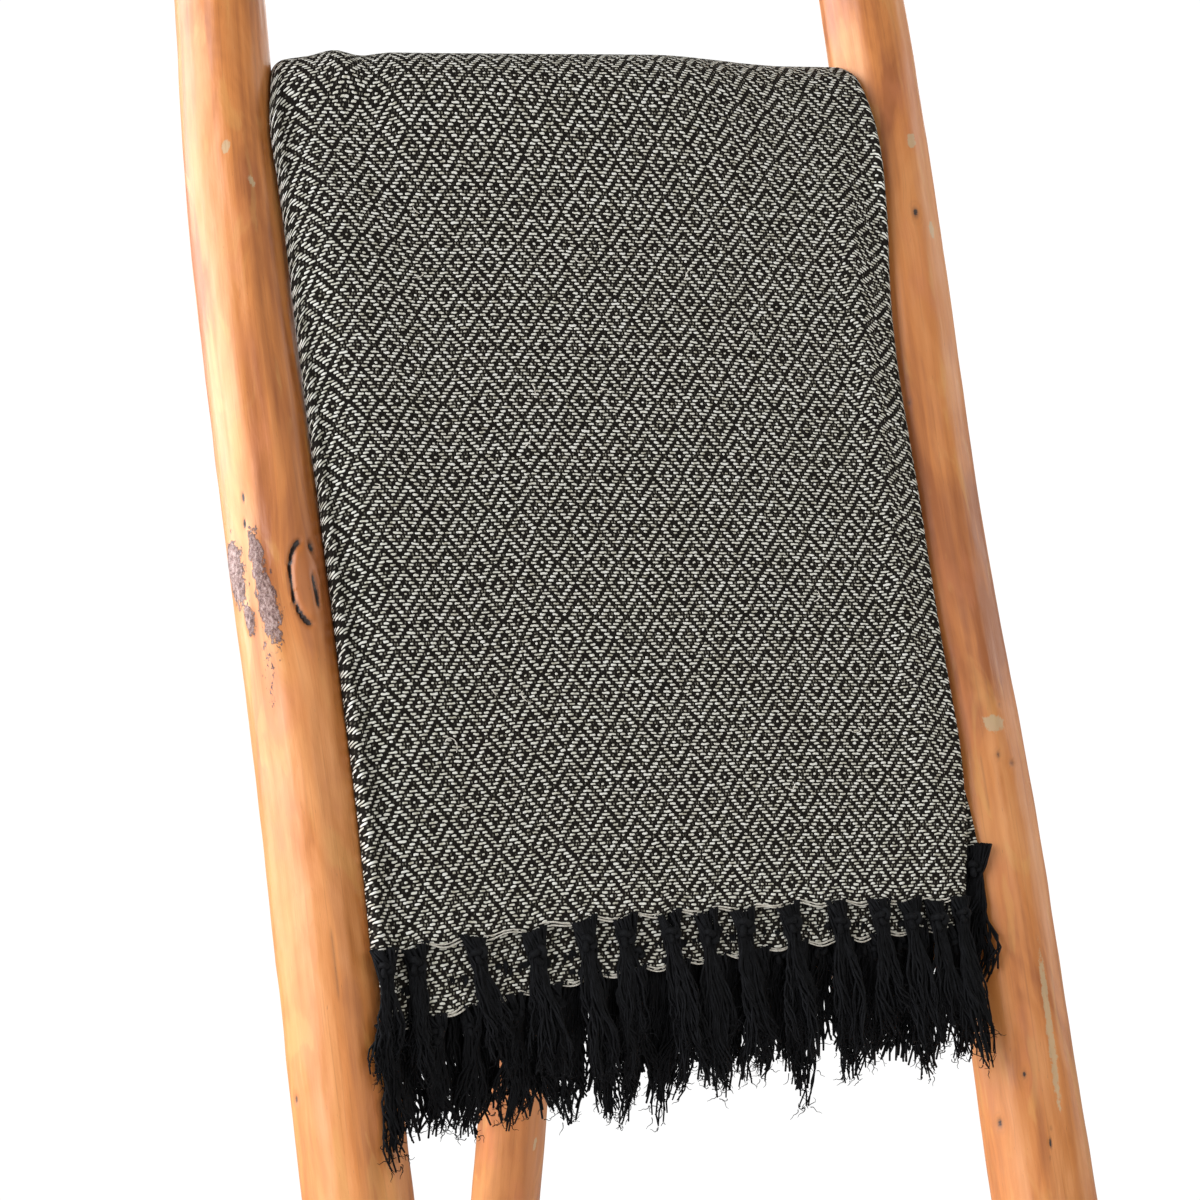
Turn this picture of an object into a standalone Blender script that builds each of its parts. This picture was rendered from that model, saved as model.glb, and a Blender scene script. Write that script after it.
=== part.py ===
"""A folded cotton throw over the top rung of a free-standing rack of peeled poles.

Two leaning rails are joined by five pegged rungs.  A rear leg hangs from the top
rung by a steel strap, swings about that rung and makes the rack stand by itself.
The throw is folded into six layers and lifts straight off.

Metres, +Z up.  The front of the rack faces -Y and its feet stand on Z = 0.
"""

import math

import bmesh
import bpy
from mathutils import Matrix, Vector

# ---------------------------------------------------------------- driving sizes
GAP = 0.0003  # between pieces that touch
RUNNING_GAP = 0.0005  # between pieces that turn on each other

RAIL_LEAN = math.radians(20.0)
RAIL_LENGTH = 1.70
RAIL_SPACING = 0.45  # between the two rails' axes
RAIL_FOOT_RADIUS = 0.037
RAIL_TOP_RADIUS = 0.0275
# How far each rail wanders sideways and to the back: (height along it, x, y).
LEFT_RAIL_CROOK = (
    (-0.08, 0.000, 0.000),
    (0.40, 0.003, 0.003),
    (0.76, 0.003, 0.001),
    (1.00, 0.001, -0.002),
    (1.24, -0.004, -0.001),
    (1.38, -0.005, 0.001),
    (1.52, 0.000, 0.002),
    (1.70, 0.003, 0.002),
)
RIGHT_RAIL_CROOK = (
    (-0.08, 0.001, 0.000),
    (0.40, -0.002, -0.003),
    (0.76, 0.001, -0.001),
    (0.98, 0.002, 0.001),
    (1.18, -0.002, 0.002),
    (1.38, 0.001, 0.001),
    (1.52, 0.000, -0.001),
    (1.70, -0.003, -0.002),
)

RUNG_COUNT = 5
LOWEST_RUNG = 0.33  # along the rail, from the floor
RUNG_PITCH = 0.28
RUNG_RADIUS = 0.017
TENON_RADIUS = 0.012
TENON_PAST_AXIS = 0.006  # how far a tenon runs past its rail's axis
SHOULDER_LENGTH = 0.012  # the cone between rung and tenon
SHOULDER_SEAT = 0.005  # how deep that cone's foot sits in the rail
PEG_RADIUS = 0.004
PEG_PAST_TENON = 0.005
PEG_PROUD = 0.0015

LEG_LEAN = math.radians(9.8)
LEG_TOP_RADIUS = 0.0225
LEG_FOOT_RADIUS = 0.0262
LEG_CROOK = (
    (0.000, 0.000, 0.000),
    (0.300, 0.003, 0.001),
    (0.650, 0.004, -0.002),
    (0.950, -0.001, 0.001),
    (1.250, -0.002, 0.002),
    (1.480, 0.000, 0.000),
)
LEG_COPE_DEPTH = 0.006  # where the leg's end stops, below the rung's axis
LEG_FLAT_LENGTH = 0.100  # the flats under the strap, from the rung's axis

STRAP_THICKNESS = 0.003
STRAP_WIDTH = 0.030
STRAP_TAIL = 0.086  # from the rung's axis to the strap's two ends
BOLT_RADIUS = 0.003
BOLT_DROPS = (0.040, 0.070)  # the two bolts, below the rung's axis
BOLT_HEAD_RADIUS = 0.0065
BOLT_HEAD_HEIGHT = 0.003
NUT_FLATS = 0.010
NUT_HEIGHT = 0.005
BOLT_END = 0.001  # how far the bolt's end passes the nut
STOP_RADIUS = 0.0025
STOP_DEPTH = 0.011  # how far the stop screw runs into the rung
STOP_PROUD = 0.0012  # its end above the strap
FOLD_SWING = math.radians(20.0)

THROW_WIDTH = 0.380
LAYERS = 6
LAYER_THICKNESS = 0.0027
FRONT_DROP = 0.54  # from the rung's axis to the hem, along the rails
BACK_DROP = 0.133
THROW_CLEARANCE = 0.0015
FRINGE_LENGTH = 0.11
FRINGE_THICKNESS = 0.0045
FRINGE_INSET = 0.003  # at each side of the hem
UNDER_HEM_DROP = 0.030  # how much lower the under fringe ends

POLE_SIDES_RESOLUTION = 8  # a curve's bevel resolution: twenty sides
ROUND_SIDES = 24
SMALL_SIDES = 16

# ---------------------------------------------------------------- worked out
TOP_RUNG = LOWEST_RUNG + (RUNG_COUNT - 1) * RUNG_PITCH
TOP_RUNG_POINT = Vector((0, TOP_RUNG * math.sin(RAIL_LEAN), TOP_RUNG * math.cos(RAIL_LEAN)))
STRAP_INNER = RUNG_RADIUS + RUNNING_GAP
STRAP_OUTER = STRAP_INNER + STRAP_THICKNESS
STACK = LAYERS * LAYER_THICKNESS

WOOD = ((0.72, 0.37, 0.14), 0.38, 0.0)
RUNG_WOOD = ((0.62, 0.31, 0.12), 0.42, 0.0)
PEG_WOOD = ((0.45, 0.24, 0.10), 0.55, 0.0)
STEEL = ((0.42, 0.42, 0.43), 0.42, 1.0)
CLOTH = ((0.36, 0.35, 0.32), 0.92, 0.0)
FRINGE = ((0.02, 0.02, 0.022), 0.95, 0.0)


# ---------------------------------------------------------------- scene and objects
def clear_scene():
    for obj in list(bpy.data.objects):
        bpy.data.objects.remove(obj, do_unlink=True)
    for mesh in list(bpy.data.meshes):
        bpy.data.meshes.remove(mesh)


def new_collection(name, parent, hidden=False):
    made = bpy.data.collections.new(name)
    parent.children.link(made)
    made.hide_render = hidden
    return made


def make_material(name, look):
    colour, roughness, metallic = look
    material = bpy.data.materials.new(name)
    material.use_nodes = True
    shader = material.node_tree.nodes["Principled BSDF"]
    shader.inputs["Base Color"].default_value = (*colour, 1.0)
    shader.inputs["Roughness"].default_value = roughness
    shader.inputs["Metallic"].default_value = metallic
    return material


def new_empty(name, parent, location=(0, 0, 0), turn=0.0):
    """An axis frame, turned about X."""
    empty = bpy.data.objects.new(name, None)
    empty.location = location
    empty.rotation_euler = (turn, 0, 0)
    empty.parent = parent
    PARTS.objects.link(empty)
    return empty


def add_part(name, mesh, look, parent):
    obj = bpy.data.objects.new(name, mesh)
    obj.parent = parent
    PARTS.objects.link(obj)
    mesh.materials.clear()
    mesh.materials.append(make_material(name, look))
    mesh.shade_smooth()
    mesh.set_sharp_from_angle(angle=math.radians(40))
    return obj


def add_cutter(name, mesh, parent, group):
    obj = bpy.data.objects.new(name, mesh)
    obj.parent = parent
    obj.hide_render = True
    obj.display_type = "WIRE"
    group.objects.link(obj)
    return obj


def cut(obj, operand):
    """A Boolean difference with one cutter, or with a collection of them."""
    modifier = obj.modifiers.new("cut", "BOOLEAN")
    modifier.operation = "DIFFERENCE"
    modifier.solver = "EXACT"
    if isinstance(operand, bpy.types.Collection):
        modifier.operand_type = "COLLECTION"
        modifier.collection = operand
    else:
        modifier.object = operand


# ---------------------------------------------------------------- meshes
def rod_mesh(name, radius, start, end, sides=SMALL_SIDES):
    """A closed cylinder from start to end."""
    start, end = Vector(start), Vector(end)
    along = end - start
    turn = Vector((0, 0, 1)).rotation_difference(along).to_matrix().to_4x4()
    place = Matrix.Translation((start + end) / 2) @ turn
    shape = bmesh.new()
    bmesh.ops.create_cone(
        shape,
        cap_ends=True,
        segments=sides,
        radius1=radius,
        radius2=radius,
        depth=along.length,
        matrix=place,
    )
    mesh = bpy.data.meshes.new(name)
    shape.to_mesh(mesh)
    shape.free()
    return mesh


def box_mesh(name, low, high):
    low, high = Vector(low), Vector(high)
    size = high - low
    shape = bmesh.new()
    bmesh.ops.create_cube(
        shape, size=1.0, matrix=Matrix.Translation((low + high) / 2) @ Matrix.Diagonal((*size, 1.0))
    )
    mesh = bpy.data.meshes.new(name)
    shape.to_mesh(mesh)
    shape.free()
    return mesh


def turned_mesh(name, profile, sides=ROUND_SIDES):
    """A solid turned about X.  The profile runs along X as (x, radius) and starts and ends on the axis."""
    shape = bmesh.new()
    points = [shape.verts.new((x, 0, radius)) for x, radius in profile]
    edges = [shape.edges.new(pair) for pair in zip(points, points[1:])]
    bmesh.ops.spin(
        shape,
        geom=points + edges,
        cent=(0, 0, 0),
        axis=(1, 0, 0),
        angle=2 * math.pi,
        steps=sides,
        use_merge=True,
    )
    bmesh.ops.remove_doubles(shape, verts=shape.verts, dist=1e-6)
    bmesh.ops.recalc_face_normals(shape, faces=shape.faces)
    mesh = bpy.data.meshes.new(name)
    shape.to_mesh(mesh)
    shape.free()
    return mesh


def extruded_mesh(name, outline, low_x, high_x):
    """A closed prism of an outline in the YZ plane, between two X."""
    shape = bmesh.new()
    face = shape.faces.new([shape.verts.new((low_x, y, z)) for y, z in outline])
    made = bmesh.ops.extrude_face_region(shape, geom=[face])["geom"]
    moved = [item for item in made if isinstance(item, bmesh.types.BMVert)]
    bmesh.ops.translate(shape, verts=moved, vec=(high_x - low_x, 0, 0))
    bmesh.ops.recalc_face_normals(shape, faces=shape.faces)
    mesh = bpy.data.meshes.new(name)
    shape.to_mesh(mesh)
    shape.free()
    return mesh


def smooth_between(points, at):
    """Catmull-Rom through (height, x, y) points, read at one height."""
    last = len(points) - 2
    index = next((i for i in range(last) if at < points[i + 1][0]), last)
    before, start = points[max(index - 1, 0)], points[index]
    end, after = points[index + 1], points[min(index + 2, len(points) - 1)]
    share = (at - start[0]) / (end[0] - start[0])
    weights = (
        -0.5 * share + share**2 - 0.5 * share**3,
        1 - 2.5 * share**2 + 1.5 * share**3,
        0.5 * share + 2 * share**2 - 1.5 * share**3,
        -0.5 * share**2 + 0.5 * share**3,
    )
    knots = (before, start, end, after)
    return [sum(w * knot[axis] for w, knot in zip(weights, knots)) for axis in (1, 2)]


def pole_mesh(name, crook, radius_at, low, high, stations=18):
    """A natural pole along local Z: a tapered tube on a gently crooked line."""
    curve = bpy.data.curves.new(name, "CURVE")
    curve.dimensions = "3D"
    curve.bevel_depth = 1.0
    curve.bevel_resolution = POLE_SIDES_RESOLUTION
    curve.use_fill_caps = True
    spline = curve.splines.new("POLY")
    spline.points.add(stations - 1)
    for index, point in enumerate(spline.points):
        height = low + (high - low) * index / (stations - 1)
        x, y = smooth_between(crook, height)
        point.co = (x, y, height, 1.0)
        point.radius = radius_at(height)
    holder = bpy.data.objects.new(name, curve)
    PARTS.objects.link(holder)
    bpy.context.view_layer.update()
    graph = bpy.context.evaluated_depsgraph_get()
    mesh = bpy.data.meshes.new_from_object(holder.evaluated_get(graph))
    bpy.data.objects.remove(holder, do_unlink=True)
    shape = bmesh.new()
    shape.from_mesh(mesh)
    bmesh.ops.remove_doubles(shape, verts=shape.verts, dist=1e-6)
    bmesh.ops.recalc_face_normals(shape, faces=shape.faces)
    shape.to_mesh(mesh)
    shape.free()
    mesh.name = name
    return mesh


# ---------------------------------------------------------------- ladder
def rail_radius(height):
    return RAIL_FOOT_RADIUS + (RAIL_TOP_RADIUS - RAIL_FOOT_RADIUS) * height / RAIL_LENGTH


def rung_heights():
    return [LOWEST_RUNG + index * RUNG_PITCH for index in range(RUNG_COUNT)]


def peg_span(height):
    """Where a peg starts, just proud of the rail's back, and where it ends in front of the tenon."""
    back = rail_radius(height) + PEG_PROUD
    front = -(TENON_RADIUS + PEG_PAST_TENON)
    return back, front


def rung_end(height, spare=0.0):
    """Half of a rung's turned outline as (x, radius), from its plain body to the tenon's end."""
    reach = RAIL_SPACING / 2 + TENON_PAST_AXIS
    shoulder = RAIL_SPACING / 2 - rail_radius(height) + SHOULDER_SEAT
    return [
        (shoulder - SHOULDER_LENGTH, RUNG_RADIUS + spare),
        (shoulder, TENON_RADIUS + spare),
        (reach + spare, TENON_RADIUS + spare),
        (reach + spare, 0.0),
    ]


def build_rail(name, side, crook, ladder, floor):
    """One rail, bored for its tenons and pegs and sawn level at the floor."""
    crook_at_x = [(height, side * RAIL_SPACING / 2 + x, y) for height, x, y in crook]
    mesh = pole_mesh(name, crook_at_x, rail_radius, crook[0][0], RAIL_LENGTH)
    rail = add_part(name, mesh, WOOD, ladder)
    borings = new_collection(name + "_borings", CUTTERS, hidden=True)
    axis = side * RAIL_SPACING / 2
    for number, height in enumerate(rung_heights(), 1):
        end = rung_end(height, GAP)
        mouth = [(end[0][0] / 2, 0.0), (end[0][0] / 2, end[0][1])]
        mortise = turned_mesh("mortise", mouth + end)
        cutter = add_cutter(f"{name}_mortise_{number}", mortise, ladder, borings)
        cutter.location = (0, 0, height)
        cutter.rotation_euler = (0, 0, 0 if side > 0 else math.pi)
        _, front = peg_span(height)
        outside = (axis, 2 * rail_radius(height), height)
        hole = rod_mesh("hole", PEG_RADIUS + GAP, outside, (axis, front - GAP, height))
        add_cutter(f"{name}_peg_hole_{number}", hole, ladder, borings)
    cut(rail, borings)
    cut(rail, floor)
    return rail


def build_rung(number, height, ladder):
    """A rung with a turned tenon and a conical shoulder at each end, drilled for its two pegs."""
    half = rung_end(height)
    profile = [(-x, radius) for x, radius in reversed(half)] + half
    name = f"rung_{number}"
    rung = add_part(name, turned_mesh(name, profile), RUNG_WOOD, ladder)
    rung.location = (0, 0, height)
    drillings = new_collection(name + "_drillings", CUTTERS, hidden=True)
    for side, word in ((-1, "left"), (1, "right")):
        x = side * RAIL_SPACING / 2
        ends = [(x, way * 2 * TENON_RADIUS, height) for way in (-1, 1)]
        hole = rod_mesh("hole", PEG_RADIUS + GAP, *ends)
        add_cutter(f"{name}_{word}_hole", hole, ladder, drillings)
    cut(rung, drillings)
    return rung, drillings


def build_peg(side, word, number, height, ladder):
    back, front = peg_span(height)
    x = side * RAIL_SPACING / 2
    name = f"{word}_peg_{number}"
    add_part(name, rod_mesh(name, PEG_RADIUS, (x, back, height), (x, front, height)), PEG_WOOD, ladder)


def build_ladder(root, floor):
    ladder = new_empty("ladder", root, turn=-RAIL_LEAN)
    build_rail("left_rail", -1, LEFT_RAIL_CROOK, ladder, floor)
    build_rail("right_rail", 1, RIGHT_RAIL_CROOK, ladder, floor)
    for number, height in enumerate(rung_heights(), 1):
        _, drillings = build_rung(number, height, ladder)
        for side, word in ((-1, "left"), (1, "right")):
            build_peg(side, word, number, height, ladder)
        if number == RUNG_COUNT:
            build_stop(ladder, height, drillings)


def build_stop(ladder, height, drillings):
    """A headless screw that stands straight up out of the top rung, in the strap's slot."""
    upright = Vector((0, -math.sin(RAIL_LEAN), math.cos(RAIL_LEAN)))  # in the leaning ladder's frame
    axis = Vector((0, 0, height))
    bottom = axis + upright * (RUNG_RADIUS - STOP_DEPTH)
    top = axis + upright * (STRAP_OUTER + STOP_PROUD)
    add_part("stop_screw", rod_mesh("stop_screw", STOP_RADIUS, bottom, top), STEEL, ladder)
    hole = rod_mesh("hole", STOP_RADIUS + GAP, bottom - upright * GAP, top + upright * STOP_DEPTH)
    add_cutter("stop_screw_hole", hole, ladder, drillings)


# ---------------------------------------------------------------- rear leg
def leg_radius(drop):
    length = TOP_RUNG_POINT.z / math.cos(LEG_LEAN)
    return LEG_TOP_RADIUS + (LEG_FOOT_RADIUS - LEG_TOP_RADIUS) * drop / length


def bolt_hole(name, drop, pivot, group):
    reach = 2 * STRAP_OUTER
    mesh = rod_mesh("hole", BOLT_RADIUS + GAP, (0, -reach, -drop), (0, reach, -drop))
    return add_cutter(name, mesh, pivot, group)


def build_leg(pivot, floor):
    """The leg hangs along local -Z, is coped round the rung and flattened under the strap."""
    flipped = [(-drop, x, y) for drop, x, y in reversed(LEG_CROOK)]
    mesh = pole_mesh("rear_leg", flipped, lambda z: leg_radius(-z), -LEG_CROOK[-1][0], -LEG_COPE_DEPTH)
    leg = add_part("rear_leg", mesh, WOOD, pivot)
    shaping = new_collection("rear_leg_shaping", CUTTERS, hidden=True)
    half = RAIL_SPACING / 4
    cope = rod_mesh("cope", RUNG_RADIUS + RUNNING_GAP, (-half, 0, 0), (half, 0, 0), ROUND_SIDES)
    add_cutter("rear_leg_cope", cope, pivot, shaping)
    for way, word in ((-1, "front"), (1, "back")):
        near, far = STRAP_INNER - GAP, 2 * STRAP_OUTER
        low = (-half, min(way * near, way * far), -LEG_FLAT_LENGTH)
        high = (half, max(way * near, way * far), half)
        add_cutter(f"rear_leg_{word}_flat", box_mesh("flat", low, high), pivot, shaping)
    for number, drop in enumerate(BOLT_DROPS, 1):
        bolt_hole(f"rear_leg_bolt_hole_{number}", drop, pivot, shaping)
    cut(leg, shaping)
    cut(leg, floor)


def strap_outline(steps=16):
    """The strap from the side: a band over the rung with two straight tails."""
    turns = [math.pi * index / steps for index in range(steps + 1)]
    outer = [(STRAP_OUTER * math.cos(turn), STRAP_OUTER * math.sin(turn)) for turn in turns]
    inner = [(STRAP_INNER * math.cos(turn), STRAP_INNER * math.sin(turn)) for turn in reversed(turns)]
    front = [(-STRAP_OUTER, -STRAP_TAIL), (-STRAP_INNER, -STRAP_TAIL)]
    back = [(STRAP_INNER, -STRAP_TAIL), (STRAP_OUTER, -STRAP_TAIL)]
    return outer + front + inner + back


def build_strap(pivot):
    half = STRAP_WIDTH / 2
    mesh = extruded_mesh("leg_strap", strap_outline(), -half, half)
    strap = add_part("leg_strap", mesh, STEEL, pivot)
    holes = new_collection("leg_strap_holes", CUTTERS, hidden=True)
    for number, drop in enumerate(BOLT_DROPS, 1):
        bolt_hole(f"leg_strap_bolt_hole_{number}", drop, pivot, holes)
    # The slot: the screw stands at one end of it with the leg open, and at the other with it folded.
    reach = STRAP_OUTER * math.sin(FOLD_SWING / 2) + STOP_RADIUS * math.cos(FOLD_SWING / 2) + GAP
    width = STOP_RADIUS + GAP
    slot = box_mesh("slot", (-width, -reach, STRAP_INNER / 2), (width, reach, 2 * STRAP_OUTER))
    cutter = add_cutter("leg_strap_slot", slot, pivot, holes)
    # Straight up is the leg's lean short of local +Z; the slot's middle lies half a swing ahead of it.
    cutter.rotation_euler = (FOLD_SWING / 2 - LEG_LEAN, 0, 0)
    cut(strap, holes)


def build_bolts(pivot):
    face = STRAP_OUTER + GAP
    nut_end = face + NUT_HEIGHT
    for number, drop in enumerate(BOLT_DROPS, 1):
        name = f"strap_bolt_{number}"
        head = [
            (-face - BOLT_HEAD_HEIGHT, 0.0),
            (-face - BOLT_HEAD_HEIGHT, BOLT_HEAD_RADIUS / 2),
            (-face - BOLT_HEAD_HEIGHT / 2, BOLT_HEAD_RADIUS),
            (-face, BOLT_HEAD_RADIUS),
        ]
        shank = [(-face, BOLT_RADIUS), (nut_end + BOLT_END, BOLT_RADIUS), (nut_end + BOLT_END, 0.0)]
        bolt = add_part(name, turned_mesh(name, head + shank, SMALL_SIDES), STEEL, pivot)
        bolt.location = (0, 0, -drop)
        bolt.rotation_euler = (0, 0, math.pi / 2)
        name = f"strap_nut_{number}"
        corner = NUT_FLATS / math.sqrt(3)
        ends = [(0, face, -drop), (0, nut_end, -drop)]
        nut = add_part(name, rod_mesh(name, corner, *ends, sides=6), STEEL, pivot)
        holes = new_collection(name + "_hole", CUTTERS, hidden=True)
        bolt_hole(name + "_bore", drop, pivot, holes)
        cut(nut, holes)


# ---------------------------------------------------------------- throw
def throw_outline(steps=14):
    """The folded throw from the side, round the rung's axis: (y, z) of its inner face, then its outer one.

    The front lies along the rails and the back along the leg and its nuts.  One arc joins them.
    """
    front = Vector((-math.cos(RAIL_LEAN), math.sin(RAIL_LEAN)))
    back = Vector((math.cos(LEG_LEAN), math.sin(LEG_LEAN)))
    front_reach = STRAP_OUTER + THROW_CLEARANCE
    back_reach = STRAP_OUTER + GAP + NUT_HEIGHT + BOLT_END + THROW_CLEARANCE
    radius = (front_reach + back_reach) / 2
    centre = Matrix((front, back)).inverted() @ Vector((front_reach - radius, back_reach - radius))
    first = math.atan2(back.y, back.x)
    last = math.atan2(front.y, front.x)
    rays = [first + (last - first) * index / steps for index in range(steps + 1)]
    down_back = Vector((math.sin(LEG_LEAN), -math.cos(LEG_LEAN)))
    down_front = Vector((-math.sin(RAIL_LEAN), -math.cos(RAIL_LEAN)))

    def face(reach):
        arc = [centre + reach * Vector((math.cos(ray), math.sin(ray))) for ray in rays]
        return [arc[0] + down_back * BACK_DROP, *arc, arc[-1] + down_front * FRONT_DROP]

    return face(radius), face(radius + STACK)


def build_throw(anchor):
    half = THROW_WIDTH / 2
    inner, outer = throw_outline()
    outline = [tuple(point) for point in outer + inner[::-1]]
    add_part("throw_cloth", extruded_mesh("throw_cloth", outline, -half, half), CLOTH, anchor)
    hem_low = min(inner[-1].y, outer[-1].y) - GAP
    side = half - FRINGE_INSET
    front_face = outer[-1].x + GAP
    middle = front_face + FRINGE_THICKNESS
    low = hem_low - FRINGE_LENGTH
    corners = ((-side, front_face, low), (side, middle, hem_low))
    add_part("outer_fringe", box_mesh("outer_fringe", *corners), FRINGE, anchor)
    near, far = middle + GAP, middle + GAP + FRINGE_THICKNESS
    corners = ((-side, near, low - UNDER_HEM_DROP), (side, far, hem_low))
    add_part("under_fringe", box_mesh("under_fringe", *corners), FRINGE, anchor)


# ---------------------------------------------------------------- whole rack
def centre_on_floor(root):
    """Moves the root so that the object's box is centred on X = Y = 0."""
    bpy.context.view_layer.update()
    graph = bpy.context.evaluated_depsgraph_get()
    corners = []
    for obj in PARTS.objects:
        if obj.type == "MESH":
            solid = obj.evaluated_get(graph)
            corners += [solid.matrix_world @ vertex.co for vertex in solid.data.vertices]
    for axis in (0, 1):
        values = [corner[axis] for corner in corners]
        root.location[axis] = -(min(values) + max(values)) / 2
    bpy.context.view_layer.update()


clear_scene()
SCENE = bpy.context.scene.collection
PARTS = new_collection("throw_on_pole_rack", SCENE)
CUTTERS = new_collection("cutters", SCENE, hidden=True)

rack = new_empty("rack", None)
ground = add_cutter("ground", box_mesh("ground", (-1, -1, -1), (1, 1.5, 0)), rack, CUTTERS)
build_ladder(rack, ground)
leg_pivot = new_empty("rear_leg_pivot", rack, TOP_RUNG_POINT, LEG_LEAN)
build_leg(leg_pivot, ground)
build_strap(leg_pivot)
build_bolts(leg_pivot)
throw_anchor = new_empty("throw_anchor", rack, TOP_RUNG_POINT)
build_throw(throw_anchor)
centre_on_floor(rack)
print("rung axis", [round(value, 5) for value in throw_anchor.matrix_world.translation])
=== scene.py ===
# %% [markdown]
# # A folded cotton throw on a rack of peeled poles
#
# The rack and the throw already exist as plain solids with joints: that is the frame. This
# lesson dresses it. Each step names one thing on the real object, says how it could be made
# in Blender, and why one way was chosen. Everything is in metres, +Z is up and the front of
# the rack faces -Y, so each place below is worked out from the frame.

# %% Load the fixed frame
import math

import bmesh
import bpy
import numpy as np
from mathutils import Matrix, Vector, noise


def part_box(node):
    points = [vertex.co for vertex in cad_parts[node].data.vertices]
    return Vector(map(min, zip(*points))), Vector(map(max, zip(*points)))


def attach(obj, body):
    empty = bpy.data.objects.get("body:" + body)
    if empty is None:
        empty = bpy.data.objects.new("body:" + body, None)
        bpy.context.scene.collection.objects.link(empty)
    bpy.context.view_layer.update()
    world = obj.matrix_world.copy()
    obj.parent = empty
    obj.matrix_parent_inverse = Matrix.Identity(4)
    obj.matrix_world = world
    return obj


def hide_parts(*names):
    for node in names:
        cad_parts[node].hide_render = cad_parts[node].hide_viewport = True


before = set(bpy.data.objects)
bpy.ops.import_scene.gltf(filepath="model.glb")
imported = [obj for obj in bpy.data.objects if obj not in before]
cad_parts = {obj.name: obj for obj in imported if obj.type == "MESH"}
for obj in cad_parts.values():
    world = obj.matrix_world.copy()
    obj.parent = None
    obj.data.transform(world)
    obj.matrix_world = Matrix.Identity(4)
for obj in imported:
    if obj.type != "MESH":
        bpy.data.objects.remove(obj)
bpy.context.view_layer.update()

# %% [markdown]
# ## Where things are
#
# Two rails lean back by 20 degrees and a leg hangs from the top rung, leaning the other way.
# Both poles and cloth are easiest to describe in a frame that leans with them: x across, n out
# of the rack's face, and a distance along the pole. The top rung's axis is the anchor of all
# three, and its box in the frame gives it exactly, because the rung is a turned piece.

# %% Anchor and directions
RAIL_LEAN = math.radians(20.0)
LEG_LEAN = math.radians(9.8)
RAIL_SPACING = 0.45
RUNG_RADIUS = 0.017
RUNG_PITCH = 0.28
TOP_RUNG = 1.45  # along the rails, from the floor

rung_low, rung_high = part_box("rung_5")
anchor = np.array((rung_low + rung_high) / 2)
RAIL_UP = np.array((0, math.sin(RAIL_LEAN), math.cos(RAIL_LEAN)))
RAIL_BACK = np.array((0, math.cos(RAIL_LEAN), -math.sin(RAIL_LEAN)))
LEG_DOWN = np.array((0, math.sin(LEG_LEAN), -math.cos(LEG_LEAN)))
LEG_BACK = np.array((0, math.cos(LEG_LEAN), math.sin(LEG_LEAN)))
ACROSS = np.array((1.0, 0, 0))
print("top rung's axis", anchor.round(5))

# %% [markdown]
# ## Camera
#
# Two things decide how a leaning rack looks: the distance sets how much the rails draw
# together, and the lens sets the size. So the camera is given as a place relative to the
# top rung, a heading, a tilt and a lens, and left without any shift.

# %% Camera
camera_data = bpy.data.cameras.new("camera")
camera = bpy.data.objects.new("camera", camera_data)
bpy.context.scene.collection.objects.link(camera)
bpy.context.scene.camera = camera
camera_data.sensor_width = 36.0
camera_data.lens = 90.45
camera.location = Vector(anchor) + Vector((-0.720, -1.853, -0.028))
camera.rotation_euler = (math.radians(90.0 - 8.43), 0.0, math.radians(-21.83))
print("camera", [round(value, 3) for value in camera.location])

# %% [markdown]
# ## Light, floor and background
#
# The rack stands in front of pure white with one broad window-like light on its left, so
# the left side of every pole is nearly white and the right side falls to dark brown. A
# bright world would fill those shadows in. Here the camera sees a white world, while the
# same world lights the object only a little, and area lights do the modelling: the window,
# a second cool light behind it that brightens the left rims, and three weak warm fills from
# the front, the right and the back.

# %% Lights and stage
def area_light(name, place, aim, size, power, colour):
    data = bpy.data.lights.new(name, "AREA")
    data.shape = "RECTANGLE"
    data.size, data.size_y = size
    data.energy = power
    data.color = colour
    lamp = bpy.data.objects.new(name, data)
    bpy.context.scene.collection.objects.link(lamp)
    lamp.location = place
    lamp.rotation_euler = (Vector(aim) - Vector(place)).to_track_quat("-Z", "Y").to_euler()


def white_world(seen, given):
    world = bpy.data.worlds.new("studio")
    bpy.context.scene.world = world
    world.use_nodes = True
    tree = world.node_tree
    background = tree.nodes["Background"]
    background.inputs["Color"].default_value = (1, 1, 1, 1)
    path = tree.nodes.new("ShaderNodeLightPath")
    strength = tree.nodes.new("ShaderNodeMapRange")
    strength.inputs["To Min"].default_value = given
    strength.inputs["To Max"].default_value = seen
    tree.links.new(path.outputs["Is Camera Ray"], strength.inputs["Value"])
    tree.links.new(strength.outputs[0], background.inputs["Strength"])


def floor_disc(centre, radius):
    shape = bmesh.new()
    bmesh.ops.create_circle(shape, cap_ends=True, segments=128, radius=radius)
    mesh = bpy.data.meshes.new("floor")
    shape.to_mesh(mesh)
    shape.free()
    floor = bpy.data.objects.new("floor", mesh)
    floor.location = centre
    bpy.context.scene.collection.objects.link(floor)
    return floor


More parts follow.
